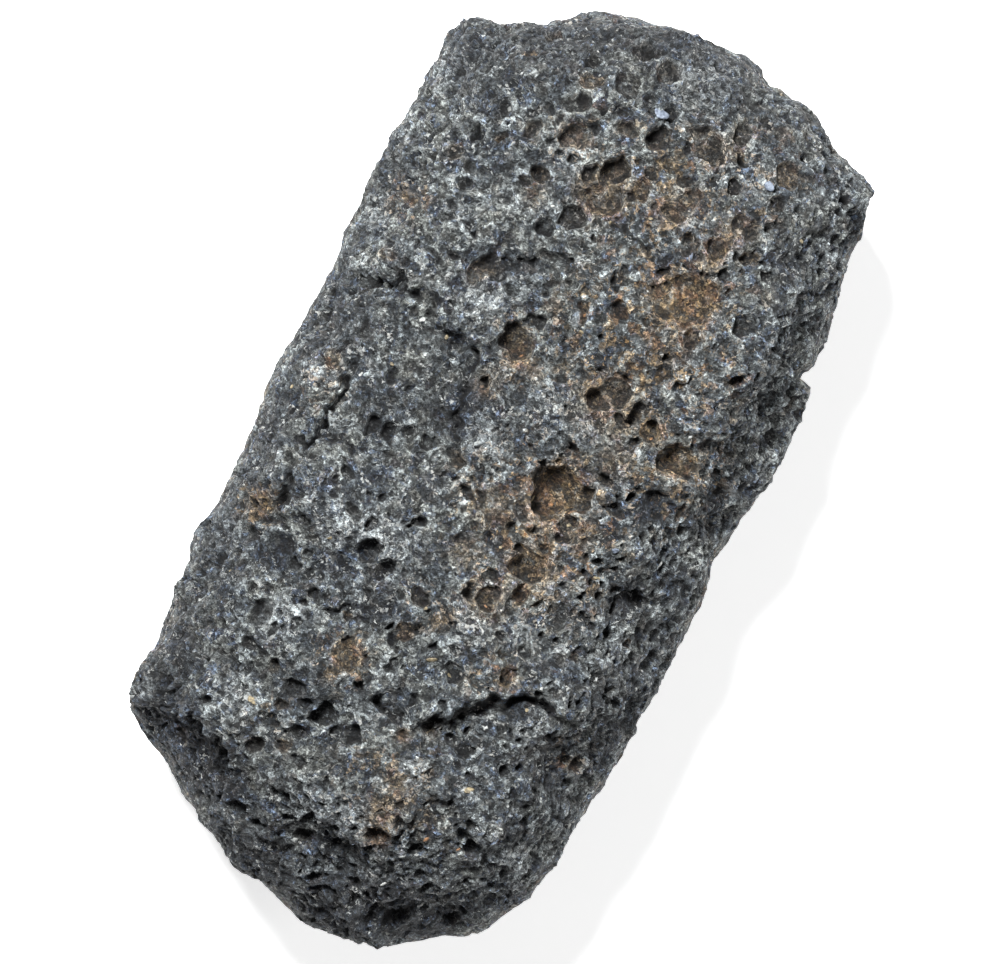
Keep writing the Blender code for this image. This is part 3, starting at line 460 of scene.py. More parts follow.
# Grains of the stone: coarse and medium grains in a millimetre, how far noise bends them, and the
# fine lath-like grains in a millimetre along each axis of a coarse grain, which each coarse grain
# turns by up to so many radians.
COARSE_GRAINS, MEDIUM_GRAINS, BEND = 0.72, 1.7, 1.6
LATHS, LATH_TURN = (1.5, 3.6, 2.8), 40.0

# Colours of the stone, as display values of 0 to 255.
COLOURS = {
    "ground": (74, 80, 84),
    "pale_ground": (104, 107, 104),
    "dark_mottle": (32, 35, 37),
    "pale_mottle": (146, 152, 150),
    "dark_facet": (44, 48, 52),
    "dark_grain": (44, 49, 54),
    "pale_grain": (136, 143, 145),
    "slate_and_painted_shade": (42, 47, 54),
    "frost_and_painted_light": (158, 164, 166),
    "dark_crystal": (18, 22, 32),
    "pale_crystal": (84, 98, 118),
    "dark_rust": (78, 66, 52),
    "pale_rust": (144, 122, 88),
    "red_rust": (120, 88, 60),
    "white_fleck": (214, 218, 216),
    "tan_fleck": (196, 160, 112),
}

# Where each thing sets in: two levels of the pattern or look that carries it, and what it comes
# to at the first and at the second.
SPANS = {
    "pale_ground": (0.38, 0.62, 0.0, 1.0),
    "dark_mottle": (0.36, 0.52, 0.7, 0.0),
    "pale_mottle": (0.50, 0.68, 0.0, 0.5),
    "dark_facet": (-0.8, 0.0, 0.5, 0.0),
    "dark_grain": (0.12, 0.32, 0.8, 0.0),
    "pale_grain": (0.76, 0.90, 0.0, 0.6),
    "frost_and_painted_light": (0.40, 0.54, 0.2, 1.0),
    "blue_patch": (0.40, 0.50, 0.0, 1.0),
    "blue_grain": (0.80, 0.86, 0.0, 1.0),
    "blue_cloud": (0.44, 0.54, 0.0, 1.0),
    "small_blue": (0.86, 0.90, 0.0, 0.7),
    "pale_crystal": (0.5, 0.8, 0.0, 1.0),
    "rust_patch": (0.36, 0.54, 0.25, 1.0),
    "rust_grain": (0.76, 0.84, 0.0, 1.0),
    "rust_cloud": (0.42, 0.54, 0.0, 0.8),
    "small_rust": (0.82, 0.87, 0.0, 1.0),
    "small_rust_cloud": (0.40, 0.54, 0.1, 0.9),
    "warmth": (0.0, 1.0, 0.12, 1.0),
    "pale_rust": (0.2, 0.8, 0.0, 1.0),
    "red_rust": (0.55, 0.75, 0.0, 0.7),
    "lath_brightness": (0.2, 0.8, 0.0, 1.6),
    "lift_shade_and_light": (-0.6, 0.45, -1.2, 0.6),
    "flecked_cloud": (0.48, 0.62, 0.1, 0.9),
    "fleck": (0.86, 0.93, 0.0, 1.0),
    "tan_fleck": (0.45, 0.55, 0.0, 1.0),
    "sunk_shade": (-0.1, -0.9, 0.0, 0.5),
    "pit_shade": (0.35, 1.0, 0.0, 0.5),
    "pit_shade_on_rust": (0.0, 1.0, 1.0, 0.2),
    "roughness": (0.3, 0.7, 0.65, 0.92),
    "grain_edge": (0.1, 0.34, 0.0, 0.3),
    "pale_mineral": (0.35, 0.65, 0.0, 1.0),
}

# Most that the colours of the slate patches with their painted shade, of the frost patches with
# their painted light, and of the crystals and rust cover of the ground.
SLATE_AND_SHADE_COVER, FROST_AND_LIGHT_COVER, CRYSTAL_COVER, RUST_COVER = 0.88, 0.7, 0.85, 0.85

# Brightness of the grains, as powers of the base: shares of the medium grains, of the grit and of
# the slate patches, whose painted shade also dims the grains.
BRIGHTNESS_BASE, MEDIUM_SHARE, GRIT_SHARE, SLATE_AND_SHADE_SHARE = 2.7, 0.4, 5.4, 0.5

# Painted shade: colours that sunk places and the deeper hollows are multiplied by.
SUNK_SHADE, PIT_SHADE = (0.3, 0.3, 0.32, 1.0), (0.2, 0.2, 0.22, 1.0)

# A mineral's roughness: two levels of its noise, and what is added to the roughness at each.
ROUGH_LEVELS, ROUGH_CHANGES = (0.3, 0.7), (-0.1, 0.2)

# Heights of the bump's crisp relief and grit in millimetres, and of a mineral's.
CRISP_BUMP, GRIT_BUMP, MINERAL_BUMP = 2.4, 0.8, 0.3

# ------------------------------------------------------------------ stage
# Lamps: name, place to the right of the rock and up in the picture, height and diameter in
# metres, and power in watts. They all look at a point a little over the floor.
LAMPS = (
    ("key", -0.20, 0.50, 0.92, 0.32, 31.5),
    ("fill", 0.95, -0.15, 0.34, 0.50, 5.2),
)
LAMP_AIM = Vector((0.0, 0.0, 0.02))

# The floor's half side and level in metres. It lies just under the resting patch.
FLOOR_HALF, FLOOR_LEVEL = 3.0, -0.02 * MM

# The floor's grey, glow and roughness, and the strength of the white sky.
FLOOR_GREY, FLOOR_GLOW, FLOOR_ROUGHNESS, SKY = 0.93, 0.62, 0.9, 0.16
WHITE = (1.0, 1.0, 1.0, 1.0)

# The point of the rock's widest level that the camera looks at.
LOOKED_AT = Vector((0.00050, -0.00051, 0.020))


# ------------------------------------------------------------------ numbers on grids
HASH_FACTORS = (374761393, 668265263, 1442695041, 362437)
HASH_MIX = 1274126177
WORD = 0xFFFFFFFF
TINY = 1e-12

# The noise's gain, the least cells along a grid's side, and how finely points are told apart in
# a cell when the edges of a grid are joined.
NOISE_GAIN, LEAST_CELLS, APART = 1.6, 4, 64.0


def whole_number_hash(cell_x, cell_y, cell_z, salt):
    """Mix three cell numbers and a salt into one well scattered 32-bit number."""
    numbers = (cell_x, cell_y, cell_z, salt)
    mixed = sum(number * factor for number, factor in zip(numbers, HASH_FACTORS)) & WORD
    for _ in range(2):
        mixed = ((mixed ^ (mixed >> 15)) * HASH_MIX) & WORD
    return mixed ^ (mixed >> 16)


def noise(points, wavelength, salt):
    """Smooth noise from about -1 to 1: random slopes at the corners of cubic cells, blended by
    the curve 6 t^5 - 15 t^4 + 10 t^3 across the cell."""
    scaled = points / wavelength
    cell = np.floor(scaled).astype(np.int64)
    inside = scaled - cell
    blend = inside**3 * (inside * (inside * 6.0 - 15.0) + 10.0)
    total = np.zeros(len(points))
    for corner in np.ndindex(2, 2, 2):
        mixed = whole_number_hash(*(cell + corner).T, salt)
        slope = np.stack([(mixed >> shift) & 1023 for shift in (0, 10, 20)], axis=1) / 511.5 - 1.0
        weight = np.where(corner, blend, 1.0 - blend).prod(axis=1)
        total += weight * (slope * (inside - corner)).sum(axis=1)
    return total * NOISE_GAIN


def ease(value, begin, over):
    """Ease from 0 to 1 as the value goes from where it begins over so much more."""
    held = np.clip((value - begin) / over, 0.0, 1.0)
    return held * held * (3.0 - 2.0 * held)


def box_grid(half, step):
    """Points and four-sided faces of a box-shaped grid, with the shared edges joined."""
    counts = [max(LEAST_CELLS, int(round(2.0 * side / step))) for side in half]
    points, faces = [], []
    start = 0
    for axis in range(3):
        across, along = (axis + 1) % 3, (axis + 2) % 3
        for sign in (-1.0, 1.0):
            u, v = np.meshgrid(
                np.linspace(-half[across], half[across], counts[across] + 1),
                np.linspace(-half[along], half[along], counts[along] + 1),
                indexing="ij",
            )
            sheet = np.zeros((u.size, 3))
            sheet[:, across] = u.ravel()
            sheet[:, along] = v.ravel()
            sheet[:, axis] = sign * half[axis]
            index = np.arange(u.size).reshape(u.shape) + start
            corners = [index[:-1, :-1], index[1:, :-1], index[1:, 1:], index[:-1, 1:]]
            if sign < 0.0:
                corners.reverse()
            faces.append(np.stack([c.ravel() for c in corners], axis=1))
            points.append(sheet)
            start += u.size
    points = np.concatenate(points)
    faces = np.concatenate(faces)
    keys = np.round(points / step * APART).astype(np.int64)
    _, first, joined = np.unique(keys, axis=0, return_index=True, return_inverse=True)
    return points[first], joined.reshape(-1)[faces]


def block_surface(points, roundness):
    """Push each direction out to the rounded block: the faces and the outline wall are joined
    by a power mean of how far each one has been reached, so their edges come out rounded."""
    way = points / np.linalg.norm(points, axis=1, keepdims=True)
    corners = np.array(OUTLINE)
    bearing = np.arctan2(corners[:, 1], corners[:, 0])
    order = np.argsort(bearing)
    nearness = 1.0 / np.hypot(corners[:, 0], corners[:, 1])
    wall = np.interp(
        np.arctan2(way[:, 1], way[:, 0]), bearing[order], nearness[order], period=2.0 * np.pi
    )
    reached = (np.hypot(way[:, 0], way[:, 1]) * wall) ** roundness
    for facing, distance in FACES:
        toward = way @ (np.array(facing) / np.linalg.norm(facing))
        reached += (np.maximum(toward, 0.0) / distance) ** roundness
    return way * (reached ** (-1.0 / roundness))[:, None]


def outward(points, faces):
    """Outward unit direction at each point, from the faces around it."""
    across = points[faces[:, 2]] - points[faces[:, 0]]
    along = points[faces[:, -1]] - points[faces[:, 1]]
    facing = np.cross(across, along)
    total = np.zeros_like(points)
    for corner in range(faces.shape[1]):
        for axis in range(3):
            total[:, axis] += np.bincount(faces[:, corner], facing[:, axis], len(points))
    return total / np.maximum(np.linalg.norm(total, axis=1, keepdims=True), TINY)


def along_line(points, line):
    """Signed distance in plan to a line of points (positive on its left), and a weight that
    fades to nothing at the line's two ends."""
    line = np.array(line, dtype=float)
    pieces = np.diff(line, axis=0)
    lengths = np.hypot(pieces[:, 0], pieces[:, 1])
    done = np.concatenate([[0.0], np.cumsum(lengths)])
    nearest = np.full(len(points), np.inf)
    side = np.ones(len(points))
    part = np.zeros(len(points))
    for start, piece, length, before in zip(line[:-1], pieces, lengths, done):
        offset = points[:, :2] - start
        run = np.clip(offset @ piece / length**2, 0.0, 1.0)
        away = offset - run[:, None] * piece
        distance = np.hypot(away[:, 0], away[:, 1])
        closer = distance < nearest
        left = piece[0] * offset[:, 1] - piece[1] * offset[:, 0] > 0.0
        nearest = np.where(closer, distance, nearest)
        side = np.where(closer, np.where(left, 1.0, -1.0), side)
        part = np.where(closer, (before + run * length) / done[-1], part)
    return nearest * side, ease(part, 0.0, LINE_FADE) * ease(1.0 - part, 0.0, LINE_FADE)


def warped(points, waves):
    """The points pushed about by noise of several wavelengths, so that shapes worked out from
    them come out irregular."""
    moved = points.copy()
    for wave, reach, salt in waves:
        moved += reach * np.stack([noise(points, wave, salt + axis) for axis in range(3)], axis=1)
    return moved


def spread(values, faces, rounds):
    """The values evened out between neighbouring points, so many times."""
    corners = faces.ravel()
    shared = np.bincount(corners, minlength=len(values))
    for _ in range(rounds):
        level = values[faces].mean(axis=1)
        values = np.bincount(corners, np.repeat(level, faces.shape[1]), len(values)) / shared
    return values


def relief(moved, upward):
    """Height of the steps, cracks and swells that show on the upper side of the rock. A step is
    a sharp rise that dies away on both sides, with a groove along its foot. Grooves and cracks
    come and go along their length."""
    height = np.zeros(len(moved))
    plan = moved[:, :2]
    swing = BROKEN_SWING * noise(moved, BROKEN_WAVE, BROKEN_SALT)
    broken = np.clip(BROKEN_DEPTH + swing, *BROKEN_RANGE)
    for line, drop, high_reach, low_reach in STEPS:
        distance, weight = along_line(plan, line)
        distance = distance * np.sign(drop)
        reach = np.where(distance > 0.0, high_reach, low_reach)
        edge = np.tanh(distance / STEP_EDGE) * np.exp(-np.abs(distance) / reach)
        groove = np.exp(-(((distance + GROOVE_AT) / GROOVE_HALF_WIDTH) ** 2))
        height += abs(drop) * weight * (0.5 * edge - GROOVE_DEPTH * groove * broken)
    for line, depth, half_width in CRACKS:
        distance, weight = along_line(plan, line)
        height -= depth * weight * broken * np.exp(-((distance / half_width) ** 2))
    for place, radius, rise in SWELLS:
        away = np.hypot(*(plan - place).T)
        height += rise * np.exp(-((away / radius) ** 2))
    return height * upward


def bowl(offset, normals, radius):
    """How far each point goes inwards to reach the far side of a ball-shaped hollow, when
    offset is the point's place seen from the ball's middle."""
    depth = (offset * normals).sum(axis=1)
    apart = (offset**2).sum(axis=1)
    room = depth**2 + radius**2 - apart
    return np.where(apart < radius**2, depth + np.sqrt(np.maximum(room, 0.0)), 0.0)


def placed_hollows(points, moved, normals):
    """Depth of the hollows that are placed one by one on the top, and their rust. Each is the
    part of a ball that has the hollow's mouth and depth."""
    depth = np.zeros(len(points))
    rust = np.zeros(len(points))
    top = np.flatnonzero(normals[:, 2] > HOLLOW_FACING)
    for x, y, mouth, deep, *stain in HOLLOWS:
        deep = min(deep * DEEPER, DEEPEST_SHARE * mouth)
        nearest = top[np.argmin(np.hypot(*(points[top, :2] - (x, y)).T))]
        radius = (mouth**2 + deep**2) / (2.0 * deep)
        centre = moved[nearest] + normals[nearest] * (radius - deep)
        near = np.flatnonzero(np.abs(moved - centre).max(axis=1) < radius)
        sunk = bowl(moved[near] - centre, normals[near], radius)
        depth[near] = np.maximum(depth[near], sunk)
        rust[near] = np.maximum(rust[near], sum(stain) * (sunk > 0.0))
    return depth, rust


def scattered_bubbles(moved, normals, crowding):
    """Depth of the bubbles cut open by the surface. Each cubic cell holds one ball at a random
    place with a random radius, and eight cells around a point hold every ball that can reach
    it, because no radius is over half a cell."""
    depth = np.zeros(len(moved))
    hidden = ease(-normals[:, 2], *HIDDEN)
    for side, smallest, largest, salt, hidden_only, deepest in BUBBLES:
        kept = 1.0 - hidden_only * (1.0 - hidden)
        cells = np.floor(moved / side - 0.5).astype(np.int64)
        for step in np.ndindex(2, 2, 2):
            cell = cells + step
            random = [whole_number_hash(*cell.T, salt + k) / 2.0**32 for k in range(4)]
            centre = (cell + np.stack(random[:3], axis=1)) * side
            radius = smallest + (largest - smallest) * random[3] ** 2
            if not hidden_only:
                radius = radius * crowding
            sunk = np.minimum(bowl(moved - centre, normals, radius), deepest)
            depth = np.maximum(depth, sunk * kept)
    return depth


def crumble(points):
    """Crumbly relief: folded noise, whose creases make small sharp ridges, at several sizes."""
    height = np.zeros(len(points))
    for salt, (wave, rise) in enumerate(CRUMBLE, CRUMBLE_SALT):
        height += rise * (FOLD_LEVEL - np.abs(noise(points, wave, salt)) * FOLD)
    return height


def flakes(points):
    """Broken facets: each point belongs to the nearest of the random middles in the cells around
    it, and each middle has its own height and tilt. A facet's tone is its tilt along x, so facets
    that slope down to the right come out darker."""
    height = np.zeros(len(points))
    tone = np.zeros(len(points))
    for side, rise, tilt, salt in FLAKES:
        cells = np.floor(points / side).astype(np.int64)
        nearest = np.full(len(points), np.inf)
        owner = np.zeros(len(points), np.int64)
        owned = np.zeros_like(points)
        for step in np.ndindex(3, 3, 3):
            cell = cells + step - 1
            random = [whole_number_hash(*cell.T, salt + k) for k in range(3)]
            offset = points - (cell + np.stack(random, axis=1) / 2.0**32) * side
            away = (offset**2).sum(axis=1)
            closer = away < nearest
            nearest[closer] = away[closer]
            owner[closer] = random[0][closer]
            owned[closer] = offset[closer]
        own = [((owner * factor) & 0xFFFF) / 32767.5 - 1.0 for factor in FLAKE_FACTORS]
        height += 0.5 * rise * own[0] + tilt * (owned * np.stack(own[1:], axis=1)).sum(axis=1)
        # The tone is the facet's tilt along x: facets sloping down towards +x are darker.
        tone += own[1] / len(FLAKES)
    return height, tone


def tinted(moved, kind, upward):
    """Strength of one kind of tint: soft patches on the top, each at its place."""
    strength = np.zeros(len(moved))
    for *place, radius, most in TINTS[kind]:
        away = np.hypot(*(moved[:, :2] - place).T)
        strength = np.maximum(strength, most * np.exp(-((away / radius) ** TINT_EDGE)))
    return strength * upward


def worn_rock(step, roundness):
    """The rock as points, faces and looks: block, lumps, steps, furrows, gas hollows, crumbly
    relief and facets. Hollows and rough relief are sunk along the directions of a rounder
    block, which never cross each other."""
    low, high = np.array(CAD_BOX[0]), np.array(CAD_BOX[1])
    cells, faces = box_grid((high - low) / (2.0 * MM), step)
    points = block_surface(cells, roundness)
    normals = outward(points, faces)
    upward = ease(normals[:, 2], *UPWARD)
    level = ease(np.abs(normals[:, 2]), *LEVEL)
    height = np.zeros(len(points))
    for salt, (wave, level_height, side_height) in enumerate(WEAR, WEAR_SALT):
        rise = side_height + (level_height - side_height) * level
        height += rise * noise(points, wave, salt)
    sloping_left = ease(-normals[:, 0], *LEFTWARD) * ease(normals[:, 2], *SLOPING)
    drawn_out = warped(points, WARP) / np.array((1.0, FURROW_LENGTH, 1.0))
    for salt, (wave, rise) in enumerate(FURROWS, FURROW_SALT):
        height += rise * sloping_left * noise(drawn_out, wave, salt)
    height = height + relief(warped(points, BREAKS), upward)
    points = points + normals * height[:, None]

    inward = outward(block_surface(cells, ROUNDER), faces)
    moved = warped(points, WARP)
    crowding = CROWDING
    for salt, (wave, swing) in enumerate(CROWD_WAVES, CROWD_SALT):
        crowding = crowding + swing * noise(points, wave, salt)
    calm = CALM_BY * ease(-points[:, 1], -CALM_FROM, CALM_OVER) * upward
    crowding = np.clip(crowding, *CROWD_RANGE) * (1.0 - calm)
    placed, rust = placed_hollows(points, moved, inward)
    sunk = np.minimum(np.maximum(placed, scattered_bubbles(moved, inward, crowding)), DEEPEST)
    facets, tone = flakes(moved)
    kept_inside = 1.0 - SMOOTHER_INSIDE * ease(sunk, 0.0, INSIDE_DEPTH)
    kept_beside = SIDE_ROUGHNESS + (1.0 - SIDE_ROUGHNESS) * upward
    rough = (crumble(points) + facets) * kept_inside * kept_beside
    surface = points + inward * (rough - sunk)[:, None]

    height = height + rough - sunk
    looks = {kind: tinted(moved, kind, upward) for kind in TINTS}
    looks["rust"] = np.maximum(looks["rust"], rust)
    looks["warm"] = np.maximum(looks["warm"], SIDE_WARMTH * (1.0 - upward))
    looks["tone"] = tone
    # Depth of the hollows and lift over the ground round about, which the material turns into
    # painted shade in sunk places and paler raised places.
    looks["pit"] = np.clip(sunk / DARK_DEPTH, 0.0, 1.0)
    looks["lift"] = height - spread(height, faces, LIFT_ROUNDS)
    return surface, faces, looks


# ------------------------------------------------------------------ meshes
def linked(name, data):
    """A new object of this data, in the scene."""
    made = bpy.data.objects.new(name, data)
    bpy.context.scene.collection.objects.link(made)
    return made


def object_of(name, points, faces, values=()):
    """A mesh object in the scene, with named numbers at its points."""
    mesh = bpy.data.meshes.new(name)
    size = faces.shape[1]
    mesh.vertices.add(len(points))
    mesh.vertices.foreach_set("co", points.astype(np.float32).ravel())
    mesh.loops.add(faces.size)
    mesh.loops.foreach_set("vertex_index", faces.astype(np.int32).ravel())
    mesh.polygons.add(len(faces))
    mesh.polygons.foreach_set("loop_start", np.arange(0, faces.size, size, dtype=np.int32))
    mesh.update(calc_edges=True)
    for key, value in dict(values).items():
        layer = mesh.attributes.new(key, "FLOAT", "POINT")
        layer.data.foreach_set("value", value.astype(np.float32))
    return linked(name, mesh)


def read_points(mesh, key="co"):
    """The places of the mesh's points, or another three numbers that each of them has."""
    values = np.empty(3 * len(mesh.vertices), np.float32)
    mesh.vertices.foreach_get(key, values)
    return values.reshape(-1, 3).astype(float)


def thinned(draft, triangles, spared, worth):
    """The draft with its triangles spent where it bends, more of them on its spared points."""
    group = draft.vertex_groups.new(name="worth")
    for chosen, weight in zip((spared, ~spared), worth):
        group.add(np.flatnonzero(chosen).tolist(), weight, "REPLACE")
    thin = draft.modifiers.new("Decimate", "DECIMATE")
    thin.decimate_type = "COLLAPSE"
    thin.use_collapse_triangulate = True
    thin.ratio = triangles / (2.0 * len(draft.data.polygons))
    thin.vertex_group = group.name
    thin.invert_vertex_group = True
    final = draft.evaluated_get(bpy.context.evaluated_depsgraph_get())
    mesh = bpy.data.meshes.new_from_object(final)
    name = draft.name
    bpy.data.objects.remove(draft, do_unlink=True)
    return linked(name, mesh)


def set_down(points, rest_play):
    """The points with those close to the resting patch laid on it, at zero height."""
    laid = points.copy()
    laid[np.abs(points[:, 2]) < rest_play, 2] = 0.0
    laid[:, 2] = np.maximum(laid[:, 2], 0.0)
    return laid


def box_fit(points):
    """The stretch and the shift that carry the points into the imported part's box."""
    low, high = np.array(CAD_BOX[0]), np.array(CAD_BOX[1])
    own_low, own_high = points.min(axis=0), points.max(axis=0)
    stretch = (high - low) / (own_high - own_low)
    return stretch, low - own_low * stretch


def crystal_shape(number):
    """One crystal of about unit size: a ball cut by a few flat faces that its number picks."""
    cells, faces = box_grid(np.ones(3), CRYSTAL_GRID)
    way = cells / np.linalg.norm(cells, axis=1, keepdims=True)
    reach = np.ones(len(way))
    for cut in range(CRYSTAL_CUTS):
        hashed = [whole_number_hash(number, cut, axis, CRYSTAL_SALT) for axis in range(3)]
        picked = [value / 2.0**31 - 1.0 for value in hashed]
        facing = np.array(picked) / np.linalg.norm(picked)
        reach = np.maximum(reach, (way @ facing) / CRYSTAL_FACE)
    return way / reach[:, None], faces


def seated_crystals(table, rock_points, rock_normals, stretch, shift):
    """All the crystals of one kind, each turned and half sunk in the rock where it lies."""
    top = np.flatnonzero(rock_normals[:, 2] > CRYSTAL_FACING)
    all_points, all_faces, count = [], [], 0
    for number, (x, y, length, width, turn) in enumerate(table):
        place = np.array((x, y)) * stretch[:2] + shift[:2]
        nearest = top[np.argmin(np.hypot(*(rock_points[top, :2] - place).T))]
        up = rock_normals[nearest]
        along = np.array((np.cos(np.radians(turn)), np.sin(np.radians(turn)), 0.0))
        along -= up * (along @ up)
        along /= np.linalg.norm(along)
        axes = np.stack([along * length, np.cross(up, along) * width, up * CRYSTAL_RISE * width])
        points, faces = crystal_shape(number + len(table))
        half_size = 0.5 * CRYSTAL_SIZE * MM
        all_points.append(rock_points[nearest] + points @ axes * half_size)
        all_faces.append(faces + count)
        count += len(points)
    return np.concatenate(all_points), np.concatenate(all_faces)


# ------------------------------------------------------------------ material
class Nodes:
    """A material's nodes, made and joined in one line each. Patterns count in millimetres of the
    object's own coordinates."""

    def __init__(self, name):
        self.material = bpy.data.materials.new(name)
        self.material.use_nodes = True
        self.tree = self.material.node_tree
        self.shader = self.tree.nodes["Principled BSDF"]
        coords = self.add("ShaderNodeTexCoord").outputs["Object"]
        scale = {"operation": "SCALE"}
        self.where = self.add("ShaderNodeVectorMath", scale, i0=coords, Scale=1.0 / MM)

    def add(self, kind, settings=(), **inputs):
        """Make a node. Inputs are named by their sockets, or i0, i1 and so on by their order."""
        made = self.tree.nodes.new(kind)
        for key, value in dict(settings).items():
            setattr(made, key, value)
        for key, value in inputs.items():
            is_place = key[0] == "i" and key[1:].isdigit()
            self.join(value, made.inputs[int(key[1:]) if is_place else key.replace("_", " ")])
        return made

    def join(self, value, socket):
        """Link a socket or a node's first output to the socket, or set its number or colour."""
        if isinstance(value, str):
            value = colour(*COLOURS[value])
        if isinstance(value, bpy.types.Node):
            value = value.outputs[0]
        if isinstance(value, bpy.types.NodeSocket):
            self.tree.links.new(value, socket)
        else:
            socket.default_value = value

    def sum(self, operation, first, second):
        """One sum of two numbers."""
        return self.add("ShaderNodeMath", {"operation": operation}, i0=first, i1=second)

    def times(self, first, second):
        """Two numbers multiplied."""
        return self.sum("MULTIPLY", first, second)

    def plus(self, first, second):
        """Two numbers added."""
        return self.sum("ADD", first, second)

    def most(self, first, second):
        """The greater of two numbers."""
        return self.sum("MAXIMUM", first, second)

    def carried(self, value, low, high, to_low, to_high):
        """Carry low to high onto to_low to to_high, eased and held at the ends."""
        settings = {"clamp": True, "interpolation_type": "SMOOTHSTEP"}
        return self.add("ShaderNodeMapRange", settings, i0=value, i1=low, i2=high, i3=to_low,
                        i4=to_high)

    def span(self, value, name):
        """Carry the value over one of the named spans."""
        return self.carried(value, *SPANS[name])

    def mix(self, share, first, second, blend="MIX"):
        """Mix two colours. A colour mix has its share and colours in sockets 0, 6 and 7, and its
        result in output 2."""
        made = self.add("ShaderNodeMix", {"data_type": "RGBA", "blend_type": blend},
                        i0=share, i6=first, i7=second)
        return made.outputs[2]

    def noise(self, name):
        """One of the named noises."""
        scale, detail, roughness, distortion = NOISES[name]
        return self.add("ShaderNodeTexNoise", Vector=self.where, Scale=scale, Detail=detail,
                        Roughness=roughness, Distortion=distortion)

    def grains(self, where, scale):
        """Cells with so many in a millimetre."""
        return self.add("ShaderNodeTexVoronoi", {"feature": "F1"}, Vector=where, Scale=scale)

    def moved(self, operation, vector, by, plus=(0.0, 0.0, 0.0)):
        """A vector multiplied by another, with a third added where the operation adds one."""
        settings = {"operation": operation}
        return self.add("ShaderNodeVectorMath", settings, i0=vector, i1=by, i2=plus)

    def parts(self, pattern):
        """The three numbers of a pattern's colour."""
        return self.add("ShaderNodeSeparateColor", i0=pattern.outputs["Color"]).outputs

    def value(self, name):
        """A named number of the mesh's points."""
        return self.add("ShaderNodeAttribute", {"attribute_name": name}).outputs["Fac"]

    def bump(self, height, strength):
        """Give the shader a bump of this height in millimetres."""
        made = self.add("ShaderNodeBump", Strength=strength, Distance=MM, Height=height)
        self.join(made, self.shader.inputs["Normal"])


def colour(*display_values):
    """A colour from red, green and blue display values of 0 to 255."""
    linear = []
    for value in display_values:
        share = value / 255.0
        linear.append(((share + 0.055) / 1.055) ** 2.4 if value > 10 else share / 12.92)
    return (*linear, 1.0)


